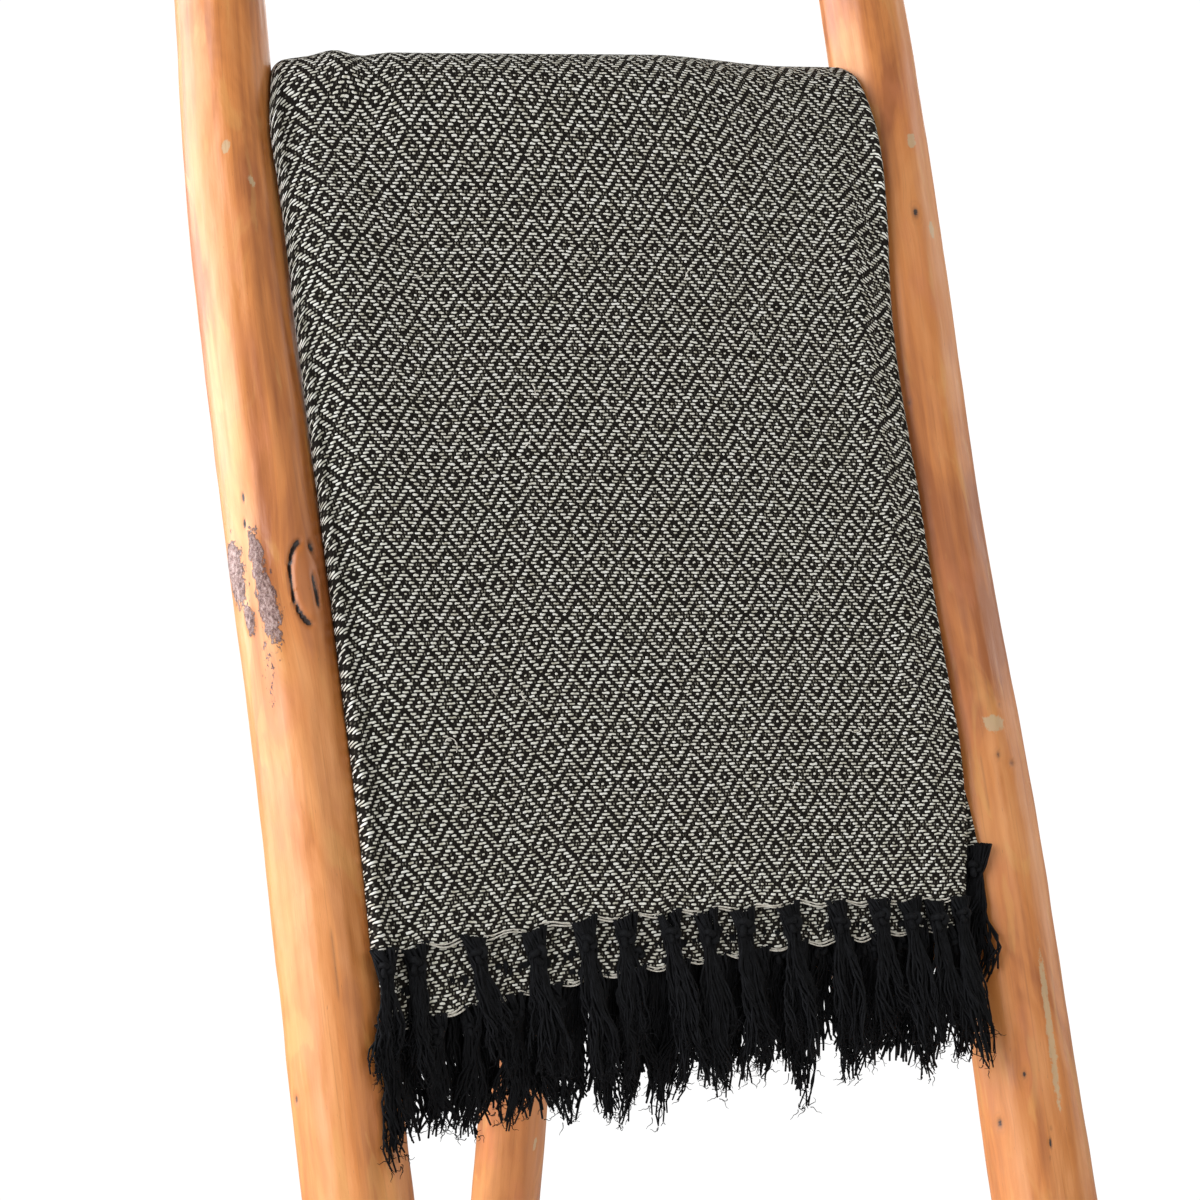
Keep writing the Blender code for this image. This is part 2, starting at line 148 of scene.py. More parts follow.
FLOOR_RADIUS = 1.85
white_world(seen=1.05, given=0.27)
middle = Vector(anchor) - Vector((0, 0.1, 0.3))
area_light("window", (-2.30, -0.12, 1.9), middle, (3.0, 2.4), 118.0, (0.94, 0.95, 1.0))
area_light("front_fill", (0.4, -3.0, 2.3), middle, (2.2, 1.8), 24.0, (1.0, 0.97, 0.92))
area_light("right_fill", (2.30, -0.15, 1.7), middle, (1.4, 2.0), 20.0, (1.0, 0.96, 0.90))
area_light("back_fill", (1.5, 2.4, 2.2), middle, (1.8, 1.8), 30.0, (1.0, 0.97, 0.93))
area_light("left_rim", (-2.0, 1.75, 1.7), middle, (1.6, 2.4), 62.0, (0.93, 0.95, 1.0))
floor = floor_disc((0, -0.45, -0.0005), FLOOR_RADIUS)
bpy.context.scene.view_settings.view_transform = "Standard"
print("floor reaches y =", floor.location.y + FLOOR_RADIUS)

# %% [markdown]
# ## Helpers for materials
#
# Every finish here is a small net of nodes. A few helpers keep those nets readable: one adds
# a node and fills its sockets from a dictionary, where a value that is itself a socket
# becomes a link, and the others do the same for arithmetic, mixing, noise, ramps and bump.

# %% Node helpers
def new_material(name, roughness=0.5, **constants):
    """An empty Principled material. Constants such as sheen go straight on its sockets."""
    material = bpy.data.materials.new(name)
    material.use_nodes = True
    tree = material.node_tree
    shader = tree.nodes["Principled BSDF"]
    shader.inputs["Roughness"].default_value = roughness
    for key, value in constants.items():
        shader.inputs[key.replace("_", " ")].default_value = value
    return material, tree, shader


def fill(tree, made, inputs):
    """Sets a node's sockets: a socket among the values becomes a link."""
    for key, value in inputs.items():
        if isinstance(value, bpy.types.NodeSocket):
            tree.links.new(value, made.inputs[key])
        else:
            made.inputs[key].default_value = value


def node(tree, kind, inputs, **settings):
    made = tree.nodes.new("ShaderNode" + kind)
    for key, value in settings.items():
        setattr(made, key, value)
    fill(tree, made, inputs)
    return made


def calc(tree, operation, *values):
    return node(tree, "Math", dict(enumerate(values)), operation=operation).outputs[0]


def vectors(tree, operation, first, second):
    return node(tree, "VectorMath", {0: first, 1: second}, operation=operation).outputs[0]


def mix(tree, share, first, second):
    return node(tree, "Mix", {0: share, 6: first, 7: second}, data_type="RGBA").outputs[2]


def between(tree, value, low, high, to_low=0.0, to_high=1.0, kind="SMOOTHSTEP"):
    inputs = {"Value": value, "From Min": low, "From Max": high, "To Min": to_low, "To Max": to_high}
    return node(tree, "MapRange", inputs, interpolation_type=kind).outputs[0]


def grains(tree, vector, stretch, scale, detail=4.0, roughness=0.6, distortion=0.0):
    """Noise on a stretched copy of a vector, as a number from 0 to 1."""
    stretched = vectors(tree, "MULTIPLY", vector, stretch)
    inputs = {
        "Vector": stretched,
        "Scale": scale,
        "Detail": detail,
        "Roughness": roughness,
        "Distortion": distortion,
    }
    return node(tree, "TexNoise", inputs).outputs["Fac"]


def ramp(tree, value, stops):
    made = node(tree, "ValToRGB", {"Fac": value})
    elements = made.color_ramp.elements
    while len(elements) < len(stops):
        elements.new(0.5)
    for element, (place, colour) in zip(elements, stops):
        element.position = place
        element.color = (*colour, 1.0)
    return made.outputs["Color"]


def bump(tree, height, distance, strength=1.0, normal=None):
    inputs = {"Height": height, "Distance": distance, "Strength": strength}
    if normal is not None:
        inputs["Normal"] = normal
    return node(tree, "Bump", inputs).outputs["Normal"]


print("node helpers ready")

# %% [markdown]
# ## A natural pole
#
# A peeled pole is a tapering tube on a slightly crooked line, but its skin is never round:
# the drawknife leaves long facets, branches leave knots with a swelling round them, and
# bark stays in hollows. A noise texture used as bump can't move the outline, so each pole
# is a fine grid of points whose radius is moved in code. The grid has short steps only
# where a mark needs them. The same code writes two things at every point for the finish:
# where it lies in the pole's own grain, and how much of each kind of mark there is.

# %% Marks on the poles
# Each mark: kind (eye, knot, crack, bark, stain or filler), height along the pole, angle
# round it from the front (+ towards +X), half its length, half its width on the surface,
# and how much it leans to +X going up.
def mark_reach(mark, heights, angles, radius):
    """How far each point is from the mark's middle, 1 at its rim, and how far round and up."""
    _, height, degrees, half_length, half_width, lean = mark
    turn = (angles - math.radians(degrees) + math.pi) % (2 * math.pi) - math.pi
    way = (turn * radius - lean * (heights - height)) / half_width
    rise = (heights - height) / half_length
    return np.hypot(rise, way), way, rise


def smooth_step(low, high, value):
    share = np.clip((value - low) / (high - low), 0, 1)
    return share * share * (3 - 2 * share)


def hump(value, middle, width):
    return np.exp(-(((value - middle) / width) ** 2))


def mark_shape(mark, away, way, rise):
    """(depth in metres, knot, bark, filler) of one mark at each point. The knot share also holds cracks and a
    painted shadow by the eye.
    """
    kind, size = mark[0], mark[4]
    nothing = np.zeros_like(away)
    if kind == "eye":
        # A healed branch: a raised lens of wood, open along its left rim and in a slit, with a painted shadow
        # at its top right corner.
        rim = hump(away, 0.97, 0.085) * smooth_step(0.15, -0.30, way)
        slit = hump(way, 0.36 - 0.16 * rise, 0.11 - 0.05 * rise)
        slit *= smooth_step(-0.72, -0.45, rise) * smooth_step(0.35, 0.05, rise)
        # Painted shadow: a dark patch at the lens's top right, where the swelling shades the wood. It is also
        # dented a little.
        corner = 0.9 * hump(way, 0.62, 0.22) * hump(rise, 0.86, 0.17)
        crack = np.maximum(np.maximum(rim, slit), corner)
        lens = smooth_step(1.02, 0.70, away)
        swell = 0.0016 * hump(away, 0, 1.6) + 0.0012 * lens
        return swell - 0.0026 * crack, crack, nothing, nothing
    if kind == "knot":
        core, ring = hump(away, 0, 0.55), hump(away, 0.95, 0.2)
        depth = 0.10 * size * hump(away, 0, 1.8) - 0.16 * size * core
        return depth, np.maximum(0.62 * core, 0.16 * ring), nothing, nothing
    if kind == "crack":
        line = hump(way, 0, 0.8) * smooth_step(1.2, 0.7, np.abs(rise))
        return -0.0009 * line, line, nothing, nothing
    if kind in ("bark", "stain"):
        # A stain is what is left where bark has been scraped off: too weak to be whole crust.
        share = 1.0 if kind == "bark" else 0.30
        patch = smooth_step(1.45, 0.45, away) * share
        return 0.0011 * patch, nothing, patch, nothing
    patch = smooth_step(1.4, 0.5, away)
    return -0.0002 * patch, nothing, nothing, patch


trial = mark_shape(("bark", 0, 0, 0.01, 0.01, 0), np.array([0.0, 1.0, 2.0]), np.zeros(3), np.zeros(3))
print("bark at its middle, rim and beyond:", trial[2].round(2))

# %% Pole grid
def smooth_between(points, at):
    """Catmull-Rom through (height, x, y) points, read at one height."""
    last = len(points) - 2
    index = next((i for i in range(last) if at < points[i + 1][0]), last)
    before, start = points[max(index - 1, 0)], points[index]
    end, after = points[index + 1], points[min(index + 2, len(points) - 1)]
    share = (at - start[0]) / (end[0] - start[0])
    weights = (
        -0.5 * share + share**2 - 0.5 * share**3,
        1 - 2.5 * share**2 + 1.5 * share**3,
        0.5 * share + 2 * share**2 - 1.5 * share**3,
        -0.5 * share**2 + 0.5 * share**3,
    )
    knots = (before, start, end, after)
    return [sum(w * knot[axis] for w, knot in zip(weights, knots)) for axis in (1, 2)]


def stations(low, high, marks, coarse=0.006, fine=0.0016):
    """Heights for the rings: coarse steps, with fine ones beside each mark."""
    heights = list(np.arange(low, high, coarse))
    for _, height, _, half_length, _, _ in marks:
        reach = 1.5 * half_length
        start, end = max(low, height - reach), min(high, height + reach)
        if start < end:
            heights += list(np.arange(start, end, fine))
    kept = [low]
    for height in sorted(heights):
        if height - kept[-1] > 0.7 * fine:
            kept.append(height)
    return np.array(kept[:-1] + [high])


def rough_field(x, y, z, seed):
    """Perlin noise at each point of three equal arrays."""
    flat = np.stack([x.ravel(), y.ravel(), z.ravel()], axis=1) + seed
    values = [noise.noise(Vector(point)) for point in flat]
    return np.array(values).reshape(x.shape)


def grid_faces(rows, columns, wrap=True):
    """Quads of a grid of points numbered row by row, closed round if wrap is set."""
    row, column = np.meshgrid(np.arange(rows - 1), np.arange(columns - (not wrap)), indexing="ij")
    after = (column + 1) % columns
    corners = (
        row * columns + column,
        row * columns + after,
        (row + 1) * columns + after,
        (row + 1) * columns + column,
    )
    return np.stack([corner.ravel() for corner in corners], axis=1)


def new_object(name, points, faces, material, smooth_angle=None):
    mesh = bpy.data.meshes.new(name)
    mesh.from_pydata(points.tolist(), [], faces if isinstance(faces, list) else faces.tolist())
    mesh.validate()
    mesh.shade_smooth()
    if smooth_angle is not None:
        mesh.set_sharp_from_angle(angle=math.radians(smooth_angle))
    mesh.materials.append(material)
    obj = bpy.data.objects.new(name, mesh)
    bpy.context.scene.collection.objects.link(obj)
    return obj


def write_attribute(mesh, name, kind, values):
    attribute = mesh.attributes.new(name, kind, "POINT")
    field = "vector" if kind == "FLOAT_VECTOR" else "color"
    attribute.data.foreach_set(field, values.astype(np.float32).ravel())


def pole_points(crook, radius_at, heights, angles, marks, seed, calm=()):
    """Local x, y, height, the grain vector and the marks for every point of a pole's side."""
    line = np.array([smooth_between(crook, height) for height in heights])
    height, angle = np.meshgrid(heights, angles, indexing="ij")
    radius = np.array([radius_at(value) for value in heights])[:, None] * np.ones_like(angle)
    east, north = np.sin(angle), np.cos(angle)
    facets = rough_field(2.4 * east, 2.4 * north, 7.0 * height, seed)
    dents = rough_field(6.0 * east, 6.0 * north, 38.0 * height, seed + 11.0)
    depth = 0.0011 * facets + 0.00035 * dents
    for calm_height in calm:
        depth *= smooth_step(0.008, 0.03, np.abs(height - calm_height)) * 0.85 + 0.15
    fields = np.zeros((*height.shape, 3))
    grain_angle = angle.copy()
    for mark in marks:
        away, way, rise = mark_reach(mark, height, angle, radius)
        shape = mark_shape(mark, away, way, rise)
        depth += shape[0]
        fields = np.maximum(fields, np.stack(shape[1:], axis=-1))
        if mark[0] in ("eye", "knot"):
            # The grain lines part round a branch: points there read the grain nearer its middle.
            pull = 0.75 * np.exp(-((away / 1.6) ** 2))
            grain_angle -= pull * way * mark[4] / radius
    across = radius + depth
    x = line[:, :1] + across * east
    y = line[:, 1:] - across * north
    grain = np.stack([radius * np.sin(grain_angle), -radius * np.cos(grain_angle), height], axis=-1)
    return x, y, height, grain, fields


print("rings on a rail with no marks:", len(stations(0, 1.7, ())))

# %% Pole solid
def cap_rings(ring, inner_count=7):
    """Points from a ring to its middle, for a sawn end: smaller rings, then one point."""
    middle_point = ring.mean(axis=0)
    shares = np.linspace(1, 0, inner_count + 1)[1:-1]
    rings = [middle_point + (ring - middle_point) * share for share in shares]
    return rings, middle_point


def build_pole(name, body, node_name, material, side, ends, place, seats=None):
    """A closed pole. side is what pole_points gives, ends trims both ends, place sets it in the
    rack, and seats shapes an end that isn't flat."""
    x, y, height, grain, fields = side
    height = ends(y, height)
    rows, columns = x.shape
    local = np.stack([x, y, height], axis=-1).reshape(-1, 3)
    grain = grain.reshape(-1, 3)
    marks = np.concatenate([fields.reshape(-1, 3), np.zeros((rows * columns, 1))], axis=1)
    faces = grid_faces(rows, columns).tolist()
    points, grain_all, marks_all = [local], [grain], [marks]
    count = rows * columns
    for start, flip in ((0, True), ((rows - 1) * columns, False)):
        ring = local[start : start + columns]
        rings, middle_point = cap_rings(ring)
        previous = list(range(start, start + columns))
        for inner in rings:
            if seats is not None:
                inner[:, 2] = seats(inner[:, 1], flip)
            points.append(inner)
            numbers = list(range(count, count + columns))
            count += columns
            for i in range(columns):
                j = (i + 1) % columns
                face = [previous[i], previous[j], numbers[j], numbers[i]]
                faces.append(face[::-1] if flip else face)
            previous = numbers
        if seats is not None:
            middle_point[2] = seats(middle_point[1], flip)
        points.append(middle_point[None])
        for i in range(columns):
            j = (i + 1) % columns
            face = [previous[i], previous[j], count]
            faces.append(face[::-1] if flip else face)
        count += 1
        added = len(rings) * columns + 1
        cap = np.concatenate([*rings, middle_point[None]])
        grain_all.append(cap)
        sawn = np.zeros((added, 4))
        sawn[:, 3] = 1.0
        marks_all.append(sawn)
    local = np.concatenate(points)
    world = place(local)
    obj = new_object(name, world, faces, material, smooth_angle=50)
    write_attribute(obj.data, "grain", "FLOAT_VECTOR", np.concatenate(grain_all))
    write_attribute(obj.data, "marks", "FLOAT_COLOR", np.concatenate(marks_all))
    shape = bmesh.new()
    shape.from_mesh(obj.data)
    bmesh.ops.recalc_face_normals(shape, faces=shape.faces)
    shape.to_mesh(obj.data)
    shape.free()
    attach(obj, body)
    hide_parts(node_name)
    print(name, len(obj.data.polygons), "faces")


# %% [markdown]
# ## Varnished wood
#
# The poles are stained orange-brown and varnished. Up close the colour is streaks a few
# millimetres wide that run along the pole, broader clouds of darker stain, pores, and then
# the marks. Image textures would smear where the pole tapers, and plain object coordinates
# don't lean with the pole. The grain vector made above follows the pole and bends round its
# knots, so noise that is stretched along it gives all the streaks. The marks are soft
# fields, and noise breaks their rims up.

# %% Wood material
def ragged_mask(tree, field, noise_value, amount, low, high):
    """A soft field cut off by noise, so that its rim breaks up. It is nothing off the mark."""
    broken = calc(tree, "MULTIPLY_ADD", calc(tree, "SUBTRACT", noise_value, 0.5), amount, field)
    return calc(tree, "MULTIPLY", between(tree, broken, low, high), between(tree, field, 0.0, 0.12))


def wood_material(name, tones, seed, gloss=0.46, coat=0.38):
    pale, honey, brown = tones
    material, tree, shader = new_material(name, gloss, Coat_Weight=coat, Coat_Roughness=0.42)
    grain = node(tree, "Attribute", {}, attribute_name="grain").outputs["Vector"]
    shifted = vectors(tree, "ADD", grain, (seed, seed, seed))
    marks = node(tree, "Attribute", {}, attribute_name="marks")
    parts = node(tree, "SeparateColor", {"Color": marks.outputs["Color"]})
    knot, bark, filler = parts.outputs[0], parts.outputs[1], parts.outputs[2]
    sawn = marks.outputs["Alpha"]

    # Clouds of stain, streaks, and fine darker lines.
    clouds = grains(tree, shifted, (1, 1, 0.30), 21.0, 4.0, 0.55, 0.8)
    streaks = grains(tree, shifted, (1, 1, 0.030), 210.0, 4.0, 0.55)
    lines = grains(tree, shifted, (1, 1, 0.016), 900.0, 3.0, 0.6)
    tone = calc(tree, "ADD", calc(tree, "MULTIPLY", clouds, 0.74), calc(tree, "MULTIPLY", streaks, 0.26))
    colour = ramp(tree, tone, ((0.375, brown), (0.49, honey), (0.61, pale)))
    line_share = calc(tree, "MULTIPLY", between(tree, lines, 0.56, 0.74), 0.28)
    colour = mix(tree, line_share, colour, (*[value * 0.55 for value in honey], 1))
    pores = grains(tree, shifted, (1, 1, 0.12), 1500.0, 2.0, 0.5)
    pore_share = calc(tree, "MULTIPLY", between(tree, pores, 0.69, 0.78), 0.35)
    colour = mix(tree, pore_share, colour, (0.09, 0.035, 0.012, 1))

    # Redder blushes, yellower bald places and rare dark worm-like flecks.
    blush = between(tree, grains(tree, shifted, (1, 1, 0.5), 30.0, 3.0), 0.53, 0.72)
    colour = mix(tree, calc(tree, "MULTIPLY", blush, 0.48), colour, (0.58, 0.185, 0.062, 1))
    bald = between(tree, grains(tree, shifted, (1, 1, 0.28), 47.0, 3.0, 0.5, 1.2), 0.56, 0.66)
    colour = mix(tree, calc(tree, "MULTIPLY", bald, 0.28), colour, (0.70, 0.37, 0.10, 1))
    flecks = grains(tree, shifted, (1, 1, 0.22), 330.0, 3.0, 0.55, 2.2)
    fleck_share = calc(tree, "MULTIPLY", between(tree, flecks, 0.785, 0.84), 0.35)
    colour = mix(tree, fleck_share, colour, (0.13, 0.05, 0.018, 1))

    # Knots, cracks and the painted shadow at the eye's top right corner are nearly black in a brown halo.
    ragged = grains(tree, shifted, (1, 1, 0.7), 300.0, 6.0, 0.75)
    halo = calc(tree, "MULTIPLY", between(tree, knot, 0.02, 0.5), 0.6)
    colour = mix(tree, halo, colour, (0.19, 0.07, 0.022, 1))
    colour = mix(tree, ragged_mask(tree, knot, ragged, 0.9, 0.40, 0.60), colour, (0.022, 0.010, 0.006, 1))

    # Bark: grey-pink crust with grains of dark red, and a dark broken rim.
    bark_mask = ragged_mask(tree, bark, ragged, 3.4, 0.52, 0.64)
    wide_mask = ragged_mask(tree, bark, ragged, 3.4, 0.40, 0.50)
    flakes = grains(tree, shifted, (1, 1, 0.8), 430.0, 6.0, 0.85)
    crust = ((0.40, (0.085, 0.025, 0.018)), (0.485, (0.36, 0.20, 0.165)), (0.58, (0.64, 0.46, 0.41)))
    colour = mix(tree, calc(tree, "MULTIPLY", wide_mask, 0.8), colour, (0.13, 0.045, 0.022, 1))
    colour = mix(tree, bark_mask, colour, ramp(tree, flakes, crust))

    filler_mask = ragged_mask(tree, filler, ragged, 2.4, 0.44, 0.80)
    colour = mix(tree, calc(tree, "MULTIPLY", filler_mask, 0.6), colour, (0.50, 0.44, 0.27, 1))

    # Sawn ends show rings round the pith.
    axis_parts = node(tree, "SeparateXYZ", {"Vector": shifted})
    squares = [calc(tree, "POWER", axis_parts.outputs[axis], 2.0) for axis in (0, 1)]
    from_pith = calc(tree, "SQRT", calc(tree, "ADD", *squares))
    wander = calc(tree, "MULTIPLY", grains(tree, shifted, (1, 1, 1), 90.0, 2.0), 6.0)
    rings = calc(tree, "SINE", calc(tree, "ADD", calc(tree, "MULTIPLY", from_pith, 2600.0), wander))
    end_colour = mix(tree, between(tree, rings, -0.6, 0.9), (0.42, 0.21, 0.09, 1), (0.24, 0.11, 0.045, 1))
    colour = mix(tree, sawn, colour, end_colour)
    tree.links.new(colour, shader.inputs["Base Color"])

    worn = grains(tree, shifted, (1, 1, 0.3), 60.0, 4.0)
    rough = between(tree, worn, 0.3, 0.7, gloss - 0.09, gloss + 0.14, "LINEAR")
    dull = calc(tree, "MULTIPLY", calc(tree, "MAXIMUM", bark_mask, sawn), 0.85)
    tree.links.new(calc(tree, "MAXIMUM", rough, dull), shader.inputs["Roughness"])
    relief = calc(tree, "ADD", calc(tree, "MULTIPLY", streaks, 0.6), calc(tree, "MULTIPLY", lines, 0.4))
    normal = bump(tree, relief, 0.0006, 0.5)
    dips = grains(tree, shifted, (1, 1, 0.4), 75.0, 3.0, 0.5, 0.5)
    normal = bump(tree, dips, 0.0016, 0.45, normal)
    crusty = calc(tree, "MULTIPLY", calc(tree, "ADD", flakes, 0.4), bark_mask)
    tree.links.new(bump(tree, crusty, 0.0024, 1.0, normal), shader.inputs["Normal"])
    return material


POLE_TONES = ((0.71, 0.288, 0.084), (0.60, 0.206, 0.042), (0.37, 0.104, 0.016))
# The leg's tones are its own darker wood, darkened by a further 15 per cent as painted shade.
LEG_TONES_WITH_PAINTED_SHADE = ((0.55, 0.210, 0.048), (0.44, 0.148, 0.027), (0.27, 0.076, 0.011))
RUNG_TONES = ((0.62, 0.30, 0.10), (0.52, 0.21, 0.055), (0.34, 0.115, 0.026))
pole_looks = (("left", POLE_TONES, 0.0), ("right", POLE_TONES, 0.37), ("leg", LEG_TONES_WITH_PAINTED_SHADE, 0.81))
pole_woods = [wood_material(f"pole_varnish_{word}", tones, seed) for word, tones, seed in pole_looks]
rung_wood = wood_material("rung_varnish", RUNG_TONES, 1.3, gloss=0.44, coat=0.40)
print("wood finishes", [material.name for material in pole_woods], rung_wood.name)

# %% [markdown]
# ## The two rails
#
# Both rails repeat the crook and the taper of their solids, so the joints stay where they
# are, and both are sawn level at the floor: each column of points starts where it meets
# the floor instead of at one height. The marks below are the real rack's: a healed branch
# like an eye, scars of bark and a stain on the left rail, and small knots and greenish
# filler on the right one. The pegs at the back stand 1.5 mm proud, so the wood stays calm
# there.

# %% Lines and marks of the rails
RAIL_LENGTH = 1.70
RAIL_FOOT_RADIUS = 0.037
RAIL_TOP_RADIUS = 0.0275
LEFT_RAIL_CROOK = (
    (-0.08, 0.000, 0.000),
    (0.40, 0.003, 0.003),
    (0.76, 0.003, 0.001),
    (1.00, 0.001, -0.002),
    (1.24, -0.004, -0.001),
    (1.38, -0.005, 0.001),
    (1.52, 0.000, 0.002),
    (1.70, 0.003, 0.002),
)
RIGHT_RAIL_CROOK = (
    (-0.08, 0.001, 0.000),
    (0.40, -0.002, -0.003),
    (0.76, 0.001, -0.001),
    (0.98, 0.002, 0.001),
    (1.18, -0.002, 0.002),
    (1.38, 0.001, 0.001),
    (1.52, 0.000, -0.001),
    (1.70, -0.003, -0.002),
)
LEFT_MARKS = (
    ("eye", 1.139, 12, 0.026, 0.0105, 0.0),
    ("bark", 1.157, -41, 0.019, 0.0045, -0.05),
    ("bark", 1.127, -34, 0.026, 0.0064, -0.08),
    ("bark", 1.151, -77, 0.021, 0.0100, 0.0),
    ("bark", 1.122, -61, 0.010, 0.0040, 0.0),
    ("stain", 1.090, -44, 0.022, 0.0040, 0.0),
    ("knot", 1.160, -78, 0.008, 0.0060, 0.0),
    ("knot", 1.124, -66, 0.004, 0.0030, 0.0),
    ("crack", 1.198, -79, 0.040, 0.0005, 0.0),
    ("crack", 1.190, -49, 0.016, 0.0004, 0.10),
    ("crack", 0.912, -13, 0.022, 0.0007, 0.0),
    ("knot", 0.838, -78, 0.006, 0.0040, 0.0),
    ("filler", 1.415, -20, 0.005, 0.0030, 0.2),
    ("filler", 1.392, 8, 0.004, 0.0022, -0.3),
    ("knot", 0.505, -20, 0.008, 0.0060, 0.0),
    ("bark", 0.470, 40, 0.022, 0.0050, 0.05),
)
RIGHT_MARKS = (
    ("knot", 1.368, 1, 0.0085, 0.0050, 0.0),
    ("filler", 1.419, 11, 0.006, 0.0040, 0.2),
    ("filler", 1.357, 26, 0.007, 0.0030, 0.0),
    ("filler", 1.023, -1, 0.0065, 0.0085, 0.0),
    ("knot", 1.002, -3, 0.005, 0.0030, 0.0),
    ("knot", 0.996, 14, 0.004, 0.0040, 0.0),
    ("knot", 1.034, 12, 0.0025, 0.0020, 0.0),
    ("filler", 0.825, 8, 0.056, 0.0030, 0.03),
    ("crack", 0.755, -12, 0.010, 0.0006, 0.15),
    ("knot", 0.771, -67, 0.007, 0.0045, 0.0),
    ("knot", 0.799, -30, 0.005, 0.0030, 0.0),
    ("knot", 1.240, -40, 0.004, 0.0025, 0.0),
    ("crack", 0.985, -25, 0.020, 0.0006, 0.0),
    ("knot", 0.430, 15, 0.009, 0.0060, 0.0),
)
print("marks on the rails:", len(LEFT_MARKS), "left,", len(RIGHT_MARKS), "right")

# %% Rails
ladder_foot = anchor - TOP_RUNG * RAIL_UP
PEG_HEIGHTS = [TOP_RUNG - index * RUNG_PITCH for index in range(5)]
POLE_COLUMNS = 120
FOOT_START = -0.02  # where a rail's grid starts, before its foot is sawn level
FOOT_STRETCH = 0.12  # the length over which the sawing moves its points


def rail_radius(height):
    return RAIL_FOOT_RADIUS + (RAIL_TOP_RADIUS - RAIL_FOOT_RADIUS) * height / RAIL_LENGTH


def place_rail(local):
    x, y, height = local.T
    return ladder_foot + x[:, None] * ACROSS + y[:, None] * RAIL_BACK + height[:, None] * RAIL_UP


def sawn_level(y, height):
    """Slides the lowest part of each column so that it starts on the floor."""
    floor_height = (y * math.sin(RAIL_LEAN) - ladder_foot[2]) / math.cos(RAIL_LEAN)
    share = np.clip((height - FOOT_START) / FOOT_STRETCH, 0, 1)
    end = FOOT_STRETCH + FOOT_START
    return np.where(height < end, floor_height + share * (end - floor_height), height)


def build_rail(name, side, crook, marks, seed, material):
    axis = side * RAIL_SPACING / 2
    crook_at_x = [(height, axis + x, y) for height, x, y in crook]
    angles = np.linspace(0, 2 * math.pi, POLE_COLUMNS, endpoint=False)
    heights = stations(FOOT_START, RAIL_LENGTH, marks)
    grid = pole_points(crook_at_x, rail_radius, heights, angles, marks, seed, PEG_HEIGHTS)
    replaced = name.replace("_pole", "_rail")
    build_pole(name, "rack", replaced, material, grid, sawn_level, place_rail)


build_rail("left_pole", -1, LEFT_RAIL_CROOK, LEFT_MARKS, 3.0, pole_woods[0])
build_rail("right_pole", 1, RIGHT_RAIL_CROOK, RIGHT_MARKS, 29.0, pole_woods[1])

# %% [markdown]
# ## The rear leg
#
# The third pole hangs from the top rung. Its end is hollowed to sit round the rung, and two
# flats are cut on it for the steel strap. A Boolean would leave long thin faces on so fine a
# mesh, so the same grid is bent instead: points above the flats' shoulder are held between
# two planes, and the end follows the rung's round.

# %% Rear leg
LEG_CROOK = (
    (0.000, 0.000, 0.000),
    (0.300, 0.003, 0.001),
    (0.650, 0.004, -0.002),
    (0.950, -0.001, 0.001),
    (1.250, -0.002, 0.002),
    (1.480, 0.000, 0.000),
)
LEG_MARKS = (
    ("knot", -0.905, 168, 0.008, 0.0055, 0.0),
    ("bark", -0.62, 200, 0.030, 0.0050, 0.05),
    ("knot", -0.56, -20, 0.007, 0.0050, 0.0),
    ("filler", -0.74, 25, 0.006, 0.0020, 0.1),
    ("crack", -0.60, -35, 0.035, 0.0007, 0.0),
    ("knot", -1.18, 30, 0.008, 0.0060, 0.0),
    ("knot", -0.33, 150, 0.006, 0.0045, 0.0),
)
LEG_LENGTH = anchor[2] / math.cos(LEG_LEAN)
LEG_TOP_RADIUS = 0.0225
LEG_FOOT_RADIUS = 0.0262
LEG_COLUMNS = 108
STRAP_INNER = RUNG_RADIUS + 0.0005
LEG_COPE_DEPTH = 0.006
FLAT_SHOULDER = (-0.106, -0.098)  # where the flats run out, below the rung's axis
COPE_START = -0.030  # above this the grid is drawn to the hollowed end


def leg_radius(height):
    return LEG_TOP_RADIUS + (LEG_FOOT_RADIUS - LEG_TOP_RADIUS) * -height / LEG_LENGTH


def place_leg(local):
    x, y, height = local.T
    return anchor + x[:, None] * ACROSS + y[:, None] * LEG_BACK - height[:, None] * LEG_DOWN


def cope_height(y):
    """The hollowed end, which follows the rung."""
    round_part = np.sqrt(np.maximum(STRAP_INNER**2 - y**2, 0))
    return -np.maximum(round_part, LEG_COPE_DEPTH)


def leg_floor(y):
    return (-anchor[2] - y * math.sin(LEG_LEAN)) / math.cos(LEG_LEAN)


def leg_ends(y, height):
    """Starts on the floor and stops round the rung."""
    end = height[0, 0] + FOOT_STRETCH
    share = np.clip((height - height[0, 0]) / FOOT_STRETCH, 0, 1)
    raised = np.where(height < end, leg_floor(y) + share * (end - leg_floor(y)), height)
    top_share = np.clip((height - COPE_START) / (height[-1, 0] - COPE_START), 0, 1)
    return np.where(height > COPE_START, COPE_START + top_share * (cope_height(y) - COPE_START), raised)


def leg_seats(y, at_floor):
    return leg_floor(y) if at_floor else cope_height(y)


